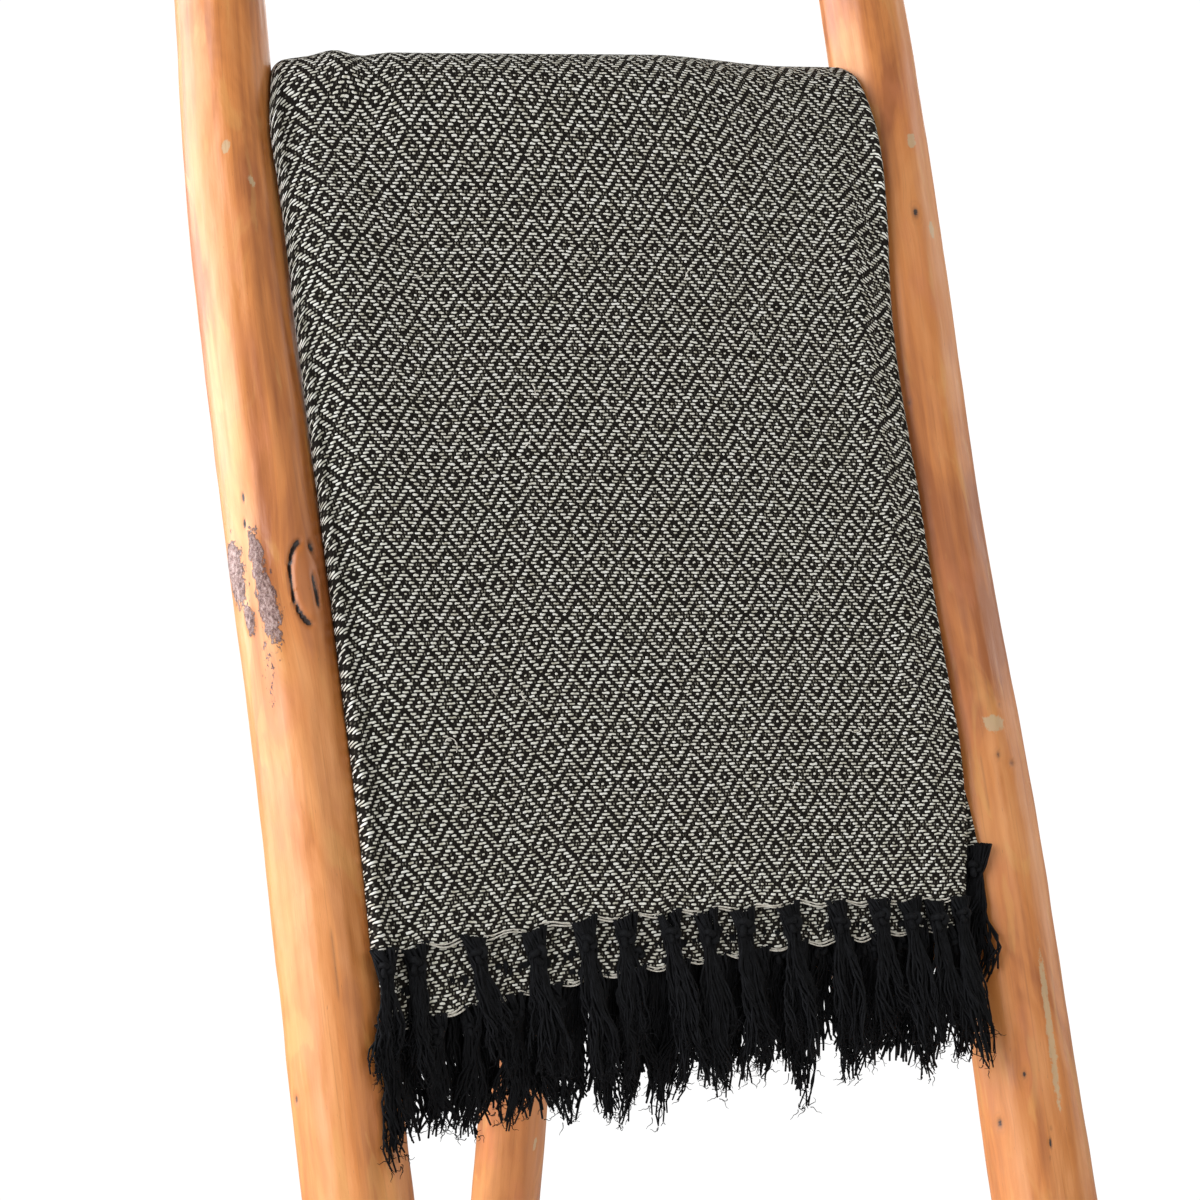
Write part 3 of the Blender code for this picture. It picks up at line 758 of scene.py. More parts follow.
leg_crook = [(-drop, x, y) for drop, x, y in reversed(LEG_CROOK)]
leg_heights = np.concatenate([stations(-LEG_LENGTH - 0.01, -0.112, LEG_MARKS), np.arange(-0.110, 0, 0.0015)])
leg_angles = np.linspace(0, 2 * math.pi, LEG_COLUMNS, endpoint=False)
x, y, height, grain, fields = pole_points(leg_crook, leg_radius, leg_heights, leg_angles, LEG_MARKS, 51.0)
held = smooth_step(*FLAT_SHOULDER, height)
half_flat = STRAP_INNER - 0.0004
y = y * (1 - held) + np.clip(y, -half_flat, half_flat) * held
leg_grid = (x, y, height, grain, fields)
build_pole("rear_pole", "leg", "rear_leg", pole_woods[2], leg_grid, leg_ends,
           place_leg, leg_seats)

# %% [markdown]
# ## Rungs
#
# The rungs are thinner sticks of the same wood with cone-shaped shoulders that vanish into
# the rails. They take the pole code again, lying down: the long axis of the grid becomes
# the rack's X.

# %% Rungs
RUNG_HALF = RAIL_SPACING / 2 - 0.020  # the stick ends inside the rails
RUNG_COLUMNS = 72
TENON_RADIUS = 0.012
SHOULDER_LENGTH = 0.012  # over which a rung thins to its tenon, from 5 mm inside the rail's skin


def rung_radius_at(rail_surface):
    def radius_at(along):
        inset = rail_surface + 0.005 - abs(along)
        return TENON_RADIUS + (RUNG_RADIUS - TENON_RADIUS) * min(max(inset / SHOULDER_LENGTH, 0.0), 1.0)
    return radius_at


def build_rung(number):
    height_up = TOP_RUNG - (5 - number) * RUNG_PITCH
    middle_point = anchor - (5 - number) * RUNG_PITCH * RAIL_UP

    def place(local):
        x, y, along = local.T
        return middle_point + along[:, None] * ACROSS + y[:, None] * RAIL_BACK + x[:, None] * RAIL_UP

    marks = [("knot", 0.13 * math.sin(2.3 * number), 70 * number, 0.006, 0.0035, 0.0)]
    straight = ((-0.3, 0, 0), (0, 0, 0), (0.1, 0, 0), (0.3, 0, 0))
    angles = np.linspace(0, 2 * math.pi, RUNG_COLUMNS, endpoint=False)
    heights = stations(-RUNG_HALF, RUNG_HALF, marks, coarse=0.004)
    radius_at = rung_radius_at(RAIL_SPACING / 2 - rail_radius(height_up))
    calm = [0.0] if number == 5 else []
    grid = pole_points(straight, radius_at, heights, angles, marks, 70.0 + 9 * number, calm)
    build_pole(f"rung_stick_{number}", "rack", f"rung_{number}", rung_wood, grid,
               lambda y, height: height, place)


for number in range(1, 6):
    build_rung(number)

# %% [markdown]
# ## Pegs and steel
#
# Pegs, strap, bolts, nuts and the stop screw are machine-like pieces whose solids are
# already right, so they keep their shape and only get a finish. The pegs are dry dowel
# with dark end grain. The strap is mill steel: blue-grey scale, rubbed bright in streaks.

# %% Peg and steel finishes
def dowel_material():
    material, tree, shader = new_material("peg_dowel", 0.62)
    place = node(tree, "TexCoord", {}).outputs["Object"]
    fibres = grains(tree, place, (1, 0.08, 1), 900.0, 4.0)
    rings = grains(tree, place, (1, 0.05, 1), 2600.0, 2.0)
    colour = ramp(tree, fibres, ((0.35, (0.16, 0.07, 0.025)), (0.65, (0.36, 0.18, 0.075))))
    ring_share = calc(tree, "MULTIPLY", between(tree, rings, 0.52, 0.7), 0.7)
    colour = mix(tree, ring_share, colour, (0.07, 0.03, 0.012, 1))
    tree.links.new(colour, shader.inputs["Base Color"])
    tree.links.new(bump(tree, fibres, 0.0004, 0.6), shader.inputs["Normal"])
    return material


def steel_material(name, tint, rust):
    material, tree, shader = new_material(name, 0.38, Metallic=1.0)
    place = node(tree, "TexCoord", {}).outputs["Object"]
    clouds = grains(tree, place, (1, 1, 1), 90.0, 5.0, 0.65)
    scratches = grains(tree, place, (0.05, 1, 1), 1900.0, 3.0, 0.6)
    colour = ramp(tree, clouds, ((0.35, [0.55 * value for value in tint]), (0.65, tint)))
    specks = between(tree, grains(tree, place, (1, 1, 1), 420.0, 4.0, 0.7), 0.60, 0.72)
    colour = mix(tree, calc(tree, "MULTIPLY", specks, rust), colour, (0.16, 0.065, 0.03, 1))
    tree.links.new(colour, shader.inputs["Base Color"])
    rubbed = between(tree, scratches, 0.35, 0.7, 0.24, 0.46)
    rough = calc(tree, "ADD", rubbed, calc(tree, "MULTIPLY", specks, 0.3))
    tree.links.new(rough, shader.inputs["Roughness"])
    tree.links.new(bump(tree, scratches, 0.00025, 0.5), shader.inputs["Normal"])
    return material


def dress(node_name, material):
    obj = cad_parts[node_name]
    obj.data.materials.clear()
    obj.data.materials.append(material)


dowel = dowel_material()
strap_steel = steel_material("strap_steel", (0.36, 0.37, 0.39), 0.55)
bolt_steel = steel_material("bolt_steel", (0.56, 0.56, 0.55), 0.2)
pegs = [f"{side}_peg_{number}" for number in range(1, 6) for side in ("left", "right")]
fixings = ["stop_screw", "strap_bolt_1", "strap_bolt_2", "strap_nut_1", "strap_nut_2"]
for node_name in pegs:
    dress(node_name, dowel)
for node_name in fixings:
    dress(node_name, bolt_steel)
dress("leg_strap", strap_steel)
print("dressed", len(pegs), "pegs,", len(fixings), "fixings and the strap")

# %% [markdown]
# ## How the throw is folded
#
# The throw is one sheet, 1.27 m wide and 1.52 m long. It is halved so that its two fringed
# ends come together, folded in thirds like a letter, and laid over the top rung with the
# fringes in front. Six layers result. Stacked boxes would look like a mattress, and a
# simulation of six touching layers would take an hour, so the fold is written as a map: it
# takes a point of the flat sheet and returns its place in the rack. Going across the sheet
# it walks along three passes joined by two round folds, and going along the sheet it walks
# from the fold behind the leg, up, round the rung and down the front. Because every layer
# comes from one map, they can't pass through each other, and the weave runs on unbroken.

# %% Across the sheet: three passes and two folds
SHEET_WIDTH = 1.27
SHEET_LENGTH = 1.52
LAYER = 0.0023  # from the middle of one layer to the next
LEFT_FOLD = math.pi * 2 * LAYER  # arc length of the fold round both inner pairs
RIGHT_FOLD = math.pi * LAYER  # arc length of the fold round one pair
PANEL = (SHEET_WIDTH - LEFT_FOLD - RIGHT_FOLD) / 3

# Where the passes end, by distance down the front from the rung's axis.
LEFT_EDGE = (
    (-0.075, -0.1850),
    (-0.035, -0.1905),
    (-0.004, -0.2000),
    (0.022, -0.2045),
    (0.055, -0.2008),
    (0.100, -0.2003),
    (0.160, -0.2010),
    (0.250, -0.2000),
    (0.450, -0.1992),
    (0.540, -0.2010),
)
RIGHT_EDGE = (
    (-0.075, 0.1870),
    (-0.030, 0.1925),
    (0.000, 0.1985),
    (0.030, 0.2022),
    (0.080, 0.2005),
    (0.140, 0.1952),
    (0.190, 0.1935),
    (0.360, 0.1945),
    (0.450, 0.1965),
    (0.500, 0.1930),
    (0.540, 0.1820),
)
INNER_RIGHT_EDGE = (
    (-0.060, 0.1780),
    (0.020, 0.1890),
    (0.300, 0.1910),
    (0.430, 0.1960),
    (0.470, 0.2020),
    (0.570, 0.2050),
)


def edge_at(edge, down):
    """A soft curve through an edge's few points."""
    places, values = np.array(edge).T
    soft = np.zeros_like(down)
    offsets = np.linspace(-0.02, 0.02, 5)
    for offset in offsets:
        soft += np.interp(down + offset, places, values)
    return soft / len(offsets)


def across_sheet(s, down):
    """(x, w, normal x, normal w) of the doubled sheet's middle, w outwards through the stack.

    Its five stretches are the inner pass, the left fold, the outer pass, the right fold and
    the pass tucked between the other two.
    """
    left, right = edge_at(LEFT_EDGE, down), edge_at(RIGHT_EDGE, down)
    inner_right = edge_at(INNER_RIGHT_EDGE, down)
    starts = np.cumsum([0, PANEL, LEFT_FOLD, PANEL, RIGHT_FOLD])
    x, w = np.empty_like(s), np.empty_like(s)
    nx, nw = np.zeros_like(s), np.ones_like(s)
    which = np.searchsorted(starts, s, side="right") - 1
    share = (s - starts[which]) / np.array([PANEL, LEFT_FOLD, PANEL, RIGHT_FOLD, PANEL])[which]
    turn = share * math.pi
    inner, outer = which == 0, which == 2
    x[inner] = (inner_right + (left - inner_right) * share)[inner]
    w[inner], nw[inner] = -2 * LAYER, -1
    fold = which == 1
    x[fold] = (left - 2 * LAYER * np.sin(turn))[fold]
    w[fold] = (-2 * LAYER * np.cos(turn))[fold]
    nx[fold], nw[fold] = -np.sin(turn)[fold], -np.cos(turn)[fold]
    x[outer] = (left + (right - left) * share)[outer]
    w[outer] = 2 * LAYER
    fold = which == 3
    x[fold] = (right + LAYER * np.sin(turn))[fold]
    w[fold] = (LAYER + LAYER * np.cos(turn))[fold]
    nx[fold], nw[fold] = np.sin(turn)[fold], np.cos(turn)[fold]
    tucked = which == 4
    x[tucked] = (right + (left + 0.004 - right) * share)[tucked]
    w[tucked], nw[tucked] = 0, -1
    return x, w, nx, nw


print("three panels of", round(PANEL, 4), "m")

# %% [markdown]
# ### Along the sheet
#
# Seen from the side the throw is a straight back, an arc over the rung, and a straight
# front that lies along the rails. The hems aren't level on the real one: the outer hem
# rises from left to right, the one under it hangs 44 mm lower on the left and 17 mm on the
# right, and the innermost layer's free corner sits higher and pokes out over the right
# rail. So the places of the fold and of both hems are functions of how far across the
# sheet a point is, and the rows of weave are spread evenly between them.

# %% Along the sheet: hems and fold
ARC_CENTRE = anchor + np.array((0, 0.0010, -0.0003))
ARC_RADIUS = 0.0247  # to the middle of the stack
BACK_SWELL = 0.0058  # how much farther out the stack is where it passes the leg
BACK_RAY, FRONT_RAY = math.radians(9.8), math.radians(160.0)
BACK_DROP = 0.105
OUTER_HEM = 0.5375
TASSEL_COUNT = 43
TASSEL_PITCH = SHEET_WIDTH / TASSEL_COUNT
# How much lower than the outer hem's own line each end hangs, by distance across the sheet.
OUTER_PASS = (PANEL + LEFT_FOLD, 2 * PANEL + LEFT_FOLD)
STATIONS_ACROSS = (0.0, PANEL, *OUTER_PASS, OUTER_PASS[1] + RIGHT_FOLD, SHEET_WIDTH)
OUTER_END_DROPS = (-0.040, -0.0125, -0.0135, -0.004, -0.002, -0.004)
UNDER_END_DROPS = (-0.040, 0.028, 0.030, 0.0127, 0.008, 0.010)


def hem_line(x):
    """The outer hem's distance down the front: lower at both sides."""
    return OUTER_HEM + 0.085 * np.maximum(-0.07 - x, 0) + 0.039 * np.maximum(x - 0.07, 0)


def fold_offset(s):
    """Where the fold behind the leg lies, from the sheet's middle row: the outer side is shorter."""
    return -0.0176 * np.interp(s, (0, PANEL, 2 * PANEL, SHEET_WIDTH), (0.3, 1.0, 0.26, 0.0))


def soft_most(a, b, softness):
    """The larger of two values, rounded where they cross."""
    gap = (a - b) / softness
    return b + softness * np.logaddexp(0, np.clip(gap, -40, 40))


print("outer hem at the left, middle and right:", hem_line(np.array([-0.2, 0.0, 0.19])).round(4))

# %% What the stack lies on and how it waves
def rail_front(x, down, clearance):
    """How far out of the rack's face a rail's skin is at x, at that distance down the front."""
    height = TOP_RUNG - down
    reach = np.full_like(x, -0.2)
    for side, crook in ((-1, LEFT_RAIL_CROOK), (1, RIGHT_RAIL_CROOK)):
        heights = np.array([point[0] for point in crook])
        wander_x = np.interp(height, heights, [point[1] for point in crook])
        wander_y = np.interp(height, heights, [point[2] for point in crook])
        radius = rail_radius(height) + clearance
        off = np.abs(x - side * RAIL_SPACING / 2 - wander_x)
        inside = off < radius
        skin = np.sqrt(np.maximum(radius**2 - off**2, 0)) - wander_y
        reach = np.where(inside, np.maximum(reach, skin), reach)
    return reach


def relief(x, down):
    """Gentle waves of the whole stack, in metres out of its own plane."""
    near_top = smooth_step(0.10, -0.03, down)
    tent = 0.0050 * smooth_step(-0.155, -0.120, x) * smooth_step(0.155, 0.055, x) * near_top
    sides = 0.0012 * smooth_step(-0.13, -0.17, x) * smooth_step(0.16, -0.02, down)
    wrinkle = 0.0050 * hump(x, -0.158, 0.013) * smooth_step(0.02, -0.03, down)
    slump = -0.0021 * smooth_step(0.05, 0.17, x) * near_top
    waves = 0.0014 * np.sin(11.0 * x + 5.0 * down) * np.sin(7.5 * down + 0.7)
    ridge = 0.0020 * hump(x, 0.172, 0.008) * smooth_step(0.03, 0.12, down)
    turned_back = -0.0034 * smooth_step(0.172, 0.204, x) * smooth_step(0.0, 0.12, down)
    swell = 0.0038 * smooth_step(-0.11, -0.178, x) * smooth_step(0.0, 0.10, down)
    shoulder = -0.0042 * np.maximum((-0.176 - x) / 0.0245, 0) ** 2
    return tent + sides + wrinkle + slump + waves + ridge + turned_back + swell + shoulder


print("relief halfway down the front:", relief(np.array([-0.19, 0.0, 0.19]), np.full(3, 0.25)).round(4))

# %% From the flat sheet to the rack
def place_sheet(s, t):
    """The place in the rack of each point (s, t) of the flat sheet."""
    middle_row = SHEET_LENGTH / 2 + fold_offset(s)
    outer_side = t < middle_row
    from_fold = np.abs(middle_row - t)
    side_length = np.where(outer_side, middle_row, SHEET_LENGTH - middle_row)
    bend = np.clip((middle_row - t) / (LAYER / 2), -math.pi / 2, math.pi / 2)
    offset = LAYER / 2 * np.sin(bend)
    outer_drop = np.interp(s, STATIONS_ACROSS, OUTER_END_DROPS)
    under_drop = np.interp(s, STATIONS_ACROSS, UNDER_END_DROPS)
    end_drop = np.where(outer_side, outer_drop, under_drop)
    down = np.full_like(s, 0.2)
    for _ in range(3):
        x, w, nx, nw = across_sheet(s, down)
        x = x + offset * nx
        w = w + offset * nw
        lift = relief(x, down)
        radius = ARC_RADIUS + w + lift
        arc = radius * (FRONT_RAY - BACK_RAY)
        back = BACK_DROP - 0.080 * soft_most(x + 0.10, 0 * x, 0.01)
        path = back + arc + hem_line(x) + end_drop
        along = from_fold / side_length * path
        down = along - back - arc
    near_hem = np.exp(-np.minimum(t, SHEET_LENGTH - t) / 0.010)
    scallop = 0.0014 * near_hem * np.cos(2 * math.pi * s / TASSEL_PITCH)
    down = down + scallop
    on_back, on_front = along < back, down > 0
    ray = BACK_RAY + np.clip((along - back) / radius, 0, FRONT_RAY - BACK_RAY)
    radius = radius + BACK_SWELL * smooth_step(1.4, 0.25, ray)
    y = ARC_CENTRE[1] + radius * np.cos(ray)
    z = ARC_CENTRE[2] + radius * np.sin(ray)
    below = np.where(on_back, back - along, 0)
    y = y + below * LEG_DOWN[1] - np.where(on_front, down, 0) * RAIL_UP[1]
    z = z + below * LEG_DOWN[2] - np.where(on_front, down, 0) * RAIL_UP[2]
    # In front of a rail each layer lies on the one below it, and the lowest on the rail. Past
    # the panel's edge, inside the round fold, fewer layers lie below.
    out = -(y - anchor[1]) * RAIL_BACK[1] - (z - anchor[2]) * RAIL_BACK[2]
    stack = 2.5 * LAYER
    past = np.clip((edge_at(LEFT_EDGE, down) - x) / stack, 0, 1)
    needed = rail_front(x, np.maximum(down, 0), 0.0012) + 0.0012 + w + stack * np.sqrt(1 - past**2)
    pushed = soft_most(needed, out, 0.0010) - out
    pushed = pushed * smooth_step(-0.030, -0.012, down)
    y = y - pushed * RAIL_BACK[1]
    z = z - pushed * RAIL_BACK[2]
    return np.stack([x, y, z], axis=-1)


corner = place_sheet(np.array([PANEL + LEFT_FOLD]), np.array([0.0]))
print("outer hem's left corner", corner.round(4))

# %% [markdown]
# ### The sheet's mesh
#
# The grid is fine where it shows, on the outer pass and at the hems, and coarser inside the
# stack. Its UV map holds the sheet's own coordinates in metres, because the weave is drawn
# from them. A Solidify modifier gives the cloth its thickness, which shows at the hems.

# %% Throw mesh
CLOTH_THICKNESS = 0.0014


def graded(breaks, steps):
    """Positions that divide each stretch between breaks into its own number of steps."""
    parts = [np.linspace(a, b, n, endpoint=False) for a, b, n in zip(breaks, breaks[1:], steps)]
    return np.concatenate([*parts, [breaks[-1]]])


across = graded(STATIONS_ACROSS, (40, 12, 100, 7, 34))
half_way = SHEET_LENGTH / 2
along_half = graded((0, 0.024, half_way - 0.26, half_way - 0.09, half_way - 0.018), (9, 60, 30, 9))
bend_rows = np.linspace(half_way - 0.017, half_way + 0.017, 26)
rows_along = np.concatenate([along_half, bend_rows, SHEET_LENGTH - along_half[::-1]])
t_grid, s_grid = np.meshgrid(rows_along, across, indexing="ij")


def woven_sheet(name, s_grid, t_grid, material):
    points = place_sheet(s_grid.ravel(), t_grid.ravel())
    faces = grid_faces(*s_grid.shape, wrap=False)
    obj = new_object(name, points, faces, material)
    layer = obj.data.uv_layers.new(name="cloth")
    corners = np.array([loop.vertex_index for loop in obj.data.loops])
    flat = np.stack([s_grid.ravel()[corners], t_grid.ravel()[corners]], axis=1)
    layer.data.foreach_set("uv", flat.astype(np.float32).ravel())
    thick = obj.modifiers.new("thickness", "SOLIDIFY")
    thick.thickness = CLOTH_THICKNESS
    thick.offset = 0.0
    return obj


print("rows and columns of the sheet:", s_grid.shape)

# %% [markdown]
# ## The diamond weave
#
# Cream weft floats lie over black warp in small concentric diamonds: twelve threads by
# sixteen picks to a repeat. Modelling each float would take a quarter of a million faces a
# layer, and a picture texture isn't allowed here, so the draft itself is written as nodes,
# as a weaver would. Number the threads and picks, fold the thread count to and fro over
# six, and treadle six picks one way and ten the other. Add the two counts, and raise the
# weft on two of every four. Because ten is four more than six, every second row of diamonds
# is taller. Inside each float the same numbers give a rounded cell, for both colour and
# height. Slubs, uneven picks and flecks of dye keep it hand-made.

# %% Weave material
WARP_PITCH = 0.001783
PICK_PITCH = 0.00227
REPEAT = 16  # picks: six one way, then ten the other


def weave_material():
    material, tree, shader = new_material("diamond_weave", 0.92, Specular_IOR_Level=0.10)
    flat = node(tree, "UVMap", {}, uv_map="cloth").outputs["UV"]
    # The lattice wanders by half a thread over a few centimetres, and each float sits unevenly.
    slow = node(tree, "TexNoise", {"Vector": flat, "Scale": 55.0, "Detail": 2.0}).outputs["Color"]
    quick = node(tree, "TexNoise", {"Vector": flat, "Scale": 330.0, "Detail": 2.0}).outputs["Color"]
    wobbled = flat
    for noise_colour, reach in ((slow, 0.0020), (quick, 0.0011)):
        centred = vectors(tree, "SUBTRACT", noise_colour, (0.5, 0.5, 0.5))
        drift = vectors(tree, "MULTIPLY", centred, (reach, reach, 0))
        wobbled = vectors(tree, "ADD", wobbled, drift)
    parts = node(tree, "SeparateXYZ", {"Vector": wobbled})
    threads = calc(tree, "DIVIDE", parts.outputs[0], WARP_PITCH)
    picks = calc(tree, "DIVIDE", parts.outputs[1], PICK_PITCH)
    pick = calc(tree, "FLOOR", picks)
    in_pick = calc(tree, "FRACT", picks)
    in_thread = calc(tree, "FRACT", threads)
    folded_threads = calc(tree, "PINGPONG", calc(tree, "SUBTRACT", threads, 0.5), 6.0)
    in_repeat = calc(tree, "FLOORED_MODULO", pick, REPEAT)
    folded_picks = calc(tree, "SUBTRACT", 6.0, calc(tree, "ABSOLUTE", calc(tree, "SUBTRACT", in_repeat, 6.0)))
    count = calc(tree, "ADD", calc(tree, "ADD", folded_threads, folded_picks), 0.5)
    in_float = calc(tree, "FLOORED_MODULO", count, 4.0)

    # One number for each stretch of a pick makes some floats long, fat or slipped.
    long_way = calc(tree, "MULTIPLY", parts.outputs[0], 230.0)
    stretch = node(tree, "CombineXYZ", {"X": long_way, "Y": calc(tree, "MULTIPLY", pick, 5.13)}).outputs[0]
    uneven = node(tree, "TexNoise", {"Vector": stretch, "Scale": 1.0, "Detail": 1.0})
    fat = uneven.outputs["Fac"]
    slip = node(tree, "SeparateColor", {"Color": uneven.outputs["Color"]}).outputs[2]
    half_height = between(tree, fat, 0.30, 0.72, 0.27, 0.38, "LINEAR")
    half_length = between(tree, slip, 0.30, 0.70, 0.98, 1.28, "LINEAR")
    off_middle = calc(tree, "ABSOLUTE", calc(tree, "SUBTRACT", in_float, 1.0))
    from_middle = calc(tree, "DIVIDE", off_middle, half_length)
    off_pick = calc(tree, "SUBTRACT", in_pick, between(tree, slip, 0.3, 0.7, 0.42, 0.58, "LINEAR"))
    from_pick = calc(tree, "DIVIDE", calc(tree, "ABSOLUTE", off_pick), half_height)
    used = calc(tree, "ADD", calc(tree, "POWER", from_middle, 3.6), calc(tree, "POWER", from_pick, 2.8))
    cell = calc(tree, "SUBTRACT", 1.0, used)
    cream_mask = between(tree, cell, 0.0, 0.28)
    float_height = calc(tree, "SQRT", calc(tree, "MAXIMUM", cell, 0.0))
    warp_height = calc(tree, "MULTIPLY", calc(tree, "SINE", calc(tree, "MULTIPLY", in_thread, math.pi)), 0.42)

    # Where the weft dives under the warp a small tick of it still shows.
    tick_way = calc(tree, "DIVIDE", calc(tree, "ABSOLUTE", calc(tree, "SUBTRACT", in_float, 3.0)), 0.33)
    tick_used = calc(tree, "ADD", calc(tree, "POWER", tick_way, 2.0), calc(tree, "POWER", from_pick, 2.0))
    tick = calc(tree, "MULTIPLY", between(tree, tick_used, 1.0, 0.5), between(tree, fat, 0.45, 0.65))

    creams = ((0.30, (0.50, 0.48, 0.38)), (0.48, (0.76, 0.75, 0.65)), (0.66, (0.90, 0.90, 0.83)))
    cream = ramp(tree, fat, creams)
    fibres = node(tree, "TexNoise", {"Vector": flat, "Scale": 2600.0, "Detail": 3.0}).outputs["Fac"]
    frayed = calc(tree, "MULTIPLY", between(tree, fibres, 0.45, 0.7), 0.30)
    cream = mix(tree, frayed, cream, (0.34, 0.31, 0.25, 1))
    blacks = ((0.40, (0.0075, 0.006, 0.0048)), (0.66, (0.019, 0.016, 0.013)), (0.80, (0.040, 0.036, 0.031)))
    black = ramp(tree, fibres, blacks)
    black = mix(tree, calc(tree, "MULTIPLY", tick, 0.55), black, (0.40, 0.38, 0.30, 1))
    tree.links.new(mix(tree, cream_mask, black, cream), shader.inputs["Base Color"])
    height = calc(tree, "MAXIMUM", float_height, warp_height)
    height = calc(tree, "ADD", height, calc(tree, "MULTIPLY", fibres, 0.25))
    tree.links.new(bump(tree, height, 0.0007, 0.8), shader.inputs["Normal"])
    return material


throw = woven_sheet("folded_throw", s_grid, t_grid, weave_material())
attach(throw, "throw")
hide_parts("throw_cloth")
print("throw of", len(throw.data.polygons), "faces")

# %% [markdown]
# ## The knotted fringe
#
# At both ends the black warp runs out of the cloth and is knotted into 43 tassels. Hair
# particles would have to be converted, and a textured card has no depth at its ragged end,
# so each yarn is a thin tube. A tassel starts spread along the hem, draws together at its
# knot and hangs straight down, and its yarns end unevenly, with fine frayed ones that curl
# away. Gravity is simple here: a yarn keeps its place until something behind it pushes it
# out, so going down it never moves back. What pushes is the layer below, the rails and the
# rungs.

# %% Yarn tubes
def tube_points(paths, radii, sides):
    """Tubes for many paths at once: paths is (yarns, points, 3), radii is (yarns, points)."""
    along = np.gradient(paths, axis=1)
    along /= np.linalg.norm(along, axis=2, keepdims=True) + 1e-12
    first = np.cross(along, (0.0, 1.0, 0.02))
    first /= np.linalg.norm(first, axis=2, keepdims=True) + 1e-12
    second = np.cross(along, first)
    turns = 2 * math.pi * np.arange(sides) / sides
    ring = first[:, :, None] * np.cos(turns)[:, None] + second[:, :, None] * np.sin(turns)[:, None]
    return paths[:, :, None] + radii[:, :, None, None] * ring


def tubes_mesh(name, groups, material):
    """One object from groups of (paths, radii, sides). Ends are closed with one face each."""
    points, faces, count = [], [], 0
    for paths, radii, sides in groups:
        yarns, stations_count = radii.shape
        made = tube_points(paths, radii, sides).reshape(-1, 3)
        quads = grid_faces(stations_count, sides)
        for yarn in range(yarns):
            start = count + yarn * stations_count * sides
            faces += (quads + start).tolist()
            faces.append(list(range(start + sides - 1, start - 1, -1)))
            last = start + (stations_count - 1) * sides
            faces.append(list(range(last, last + sides)))
        points.append(made)
        count += len(made)
    return new_object(name, np.concatenate(points), faces, material)


def yarn_material(name, dark, light, scale):
    material, tree, shader = new_material(name, 0.82, Specular_IOR_Level=0.14)
    place = node(tree, "TexCoord", {}).outputs["Object"]
    tufts = grains(tree, place, (1, 1, 0.35), scale, 4.0, 0.65)
    strands = grains(tree, place, (1, 1, 0.12), 2200.0, 2.0)
    colour = ramp(tree, tufts, ((0.32, dark), (0.68, light)))
    tree.links.new(colour, shader.inputs["Base Color"])
    tree.links.new(bump(tree, strands, 0.0004, 0.7), shader.inputs["Normal"])
    return material


black_yarn = yarn_material("black_yarn", (0.0022, 0.0022, 0.0026), (0.0095, 0.0100, 0.0115), 420.0)
cream_yarn = yarn_material("cream_yarn", (0.46, 0.42, 0.34), (0.80, 0.77, 0.69), 700.0)
print("yarns:", black_yarn.name, cream_yarn.name)

# %% [markdown]
# ### Hanging one tassel
#
# A tassel is never one bundle. Its yarn is plied, so below the knot it falls into five hanks
# that sway, cross and end at their own lengths, and each end frays into curls. So the paths
# are made in that order: a line for each hank, yarns wound loosely round it, and short fine
# curls that leave it near its end. All of them are held in front of what lies behind.

# %% What a yarn rests on
NOTHING_BEHIND = 9.0  # a y far behind the rack, for heights where there is nothing to rest on


def down_and_out(point):
    """A place in the rack as distance down the front and out of the rack's face."""
    offset = point - anchor
    return -offset @ RAIL_UP, -offset @ RAIL_BACK


def rung_line(z, clearance):
    """The foremost y of the rungs at height z, or far behind them where there is none."""
    radius = RUNG_RADIUS + clearance
    limit = np.full_like(z, NOTHING_BEHIND)
    for index in range(1, 5):
        axis = anchor - index * RUNG_PITCH * RAIL_UP
        off = np.abs(z - axis[2])
        skin = axis[1] - np.sqrt(np.maximum(radius**2 - off**2, 0))
        limit = np.where(off < radius, np.minimum(limit, skin), limit)
    return limit


def support_line(x, z, hem):
    """The rearmost y of a hanging yarn: in front of the rails, the rungs and the layer below."""
    down = (anchor[2] - z) / RAIL_UP[2]
    for _ in range(2):
        out_guess = rail_front(x, down, 0.004)
        down = (anchor[2] - z + out_guess * math.sin(RAIL_LEAN)) / RAIL_UP[2]
    out = rail_front(x, down, 0.0030)
    out = np.where(down < hem[0], np.maximum(out, hem[1]), out)
    drop = anchor[2] - z
    limit = anchor[1] - (drop * math.sin(RAIL_LEAN) + out) / math.cos(RAIL_LEAN)
    return np.minimum(np.where(out > -0.1, limit, NOTHING_BEHIND), rung_line(z, 0.0020))


rearmost = support_line(np.array([0.2]), np.array([anchor[2] - 0.51]), (0.0, -0.2))
print("a yarn in front of the right rail, below the hem, stays before y =", rearmost.round(4))

# %% Hanks and yarns
FRINGE_LENGTH = 0.096
HANKS = 5
chance = np.random.default_rng(7)


def hank_lines(tassel, q):
    """Sideways place and depth of each hank at shares q of its length, and the lengths."""
    knot, length = tassel["knot"], tassel["length"]
    lengths = length * (1 + chance.uniform(-0.24, 0.05, (HANKS, 1)))
    drop = q * lengths
    opened = smooth_step(knot, 0.075, drop)
    rest = np.linspace(-1, 1, HANKS)[:, None] + chance.uniform(-0.35, 0.35, (HANKS, 1))
    phase, beats = chance.uniform(0, 6.28, (HANKS, 1)), chance.uniform(0.5, 1.2, (HANKS, 1))
    sway = 0.0038 * np.sin(6.28 * beats * q + phase) * opened
    side = rest * (tassel["neck"] + 0.0050 * opened) + sway + tassel["lean"] * q**1.3
    depth = chance.uniform(-1, 1, (HANKS, 1)) * (0.0006 + 0.0026 * opened)
    return side, depth, lengths


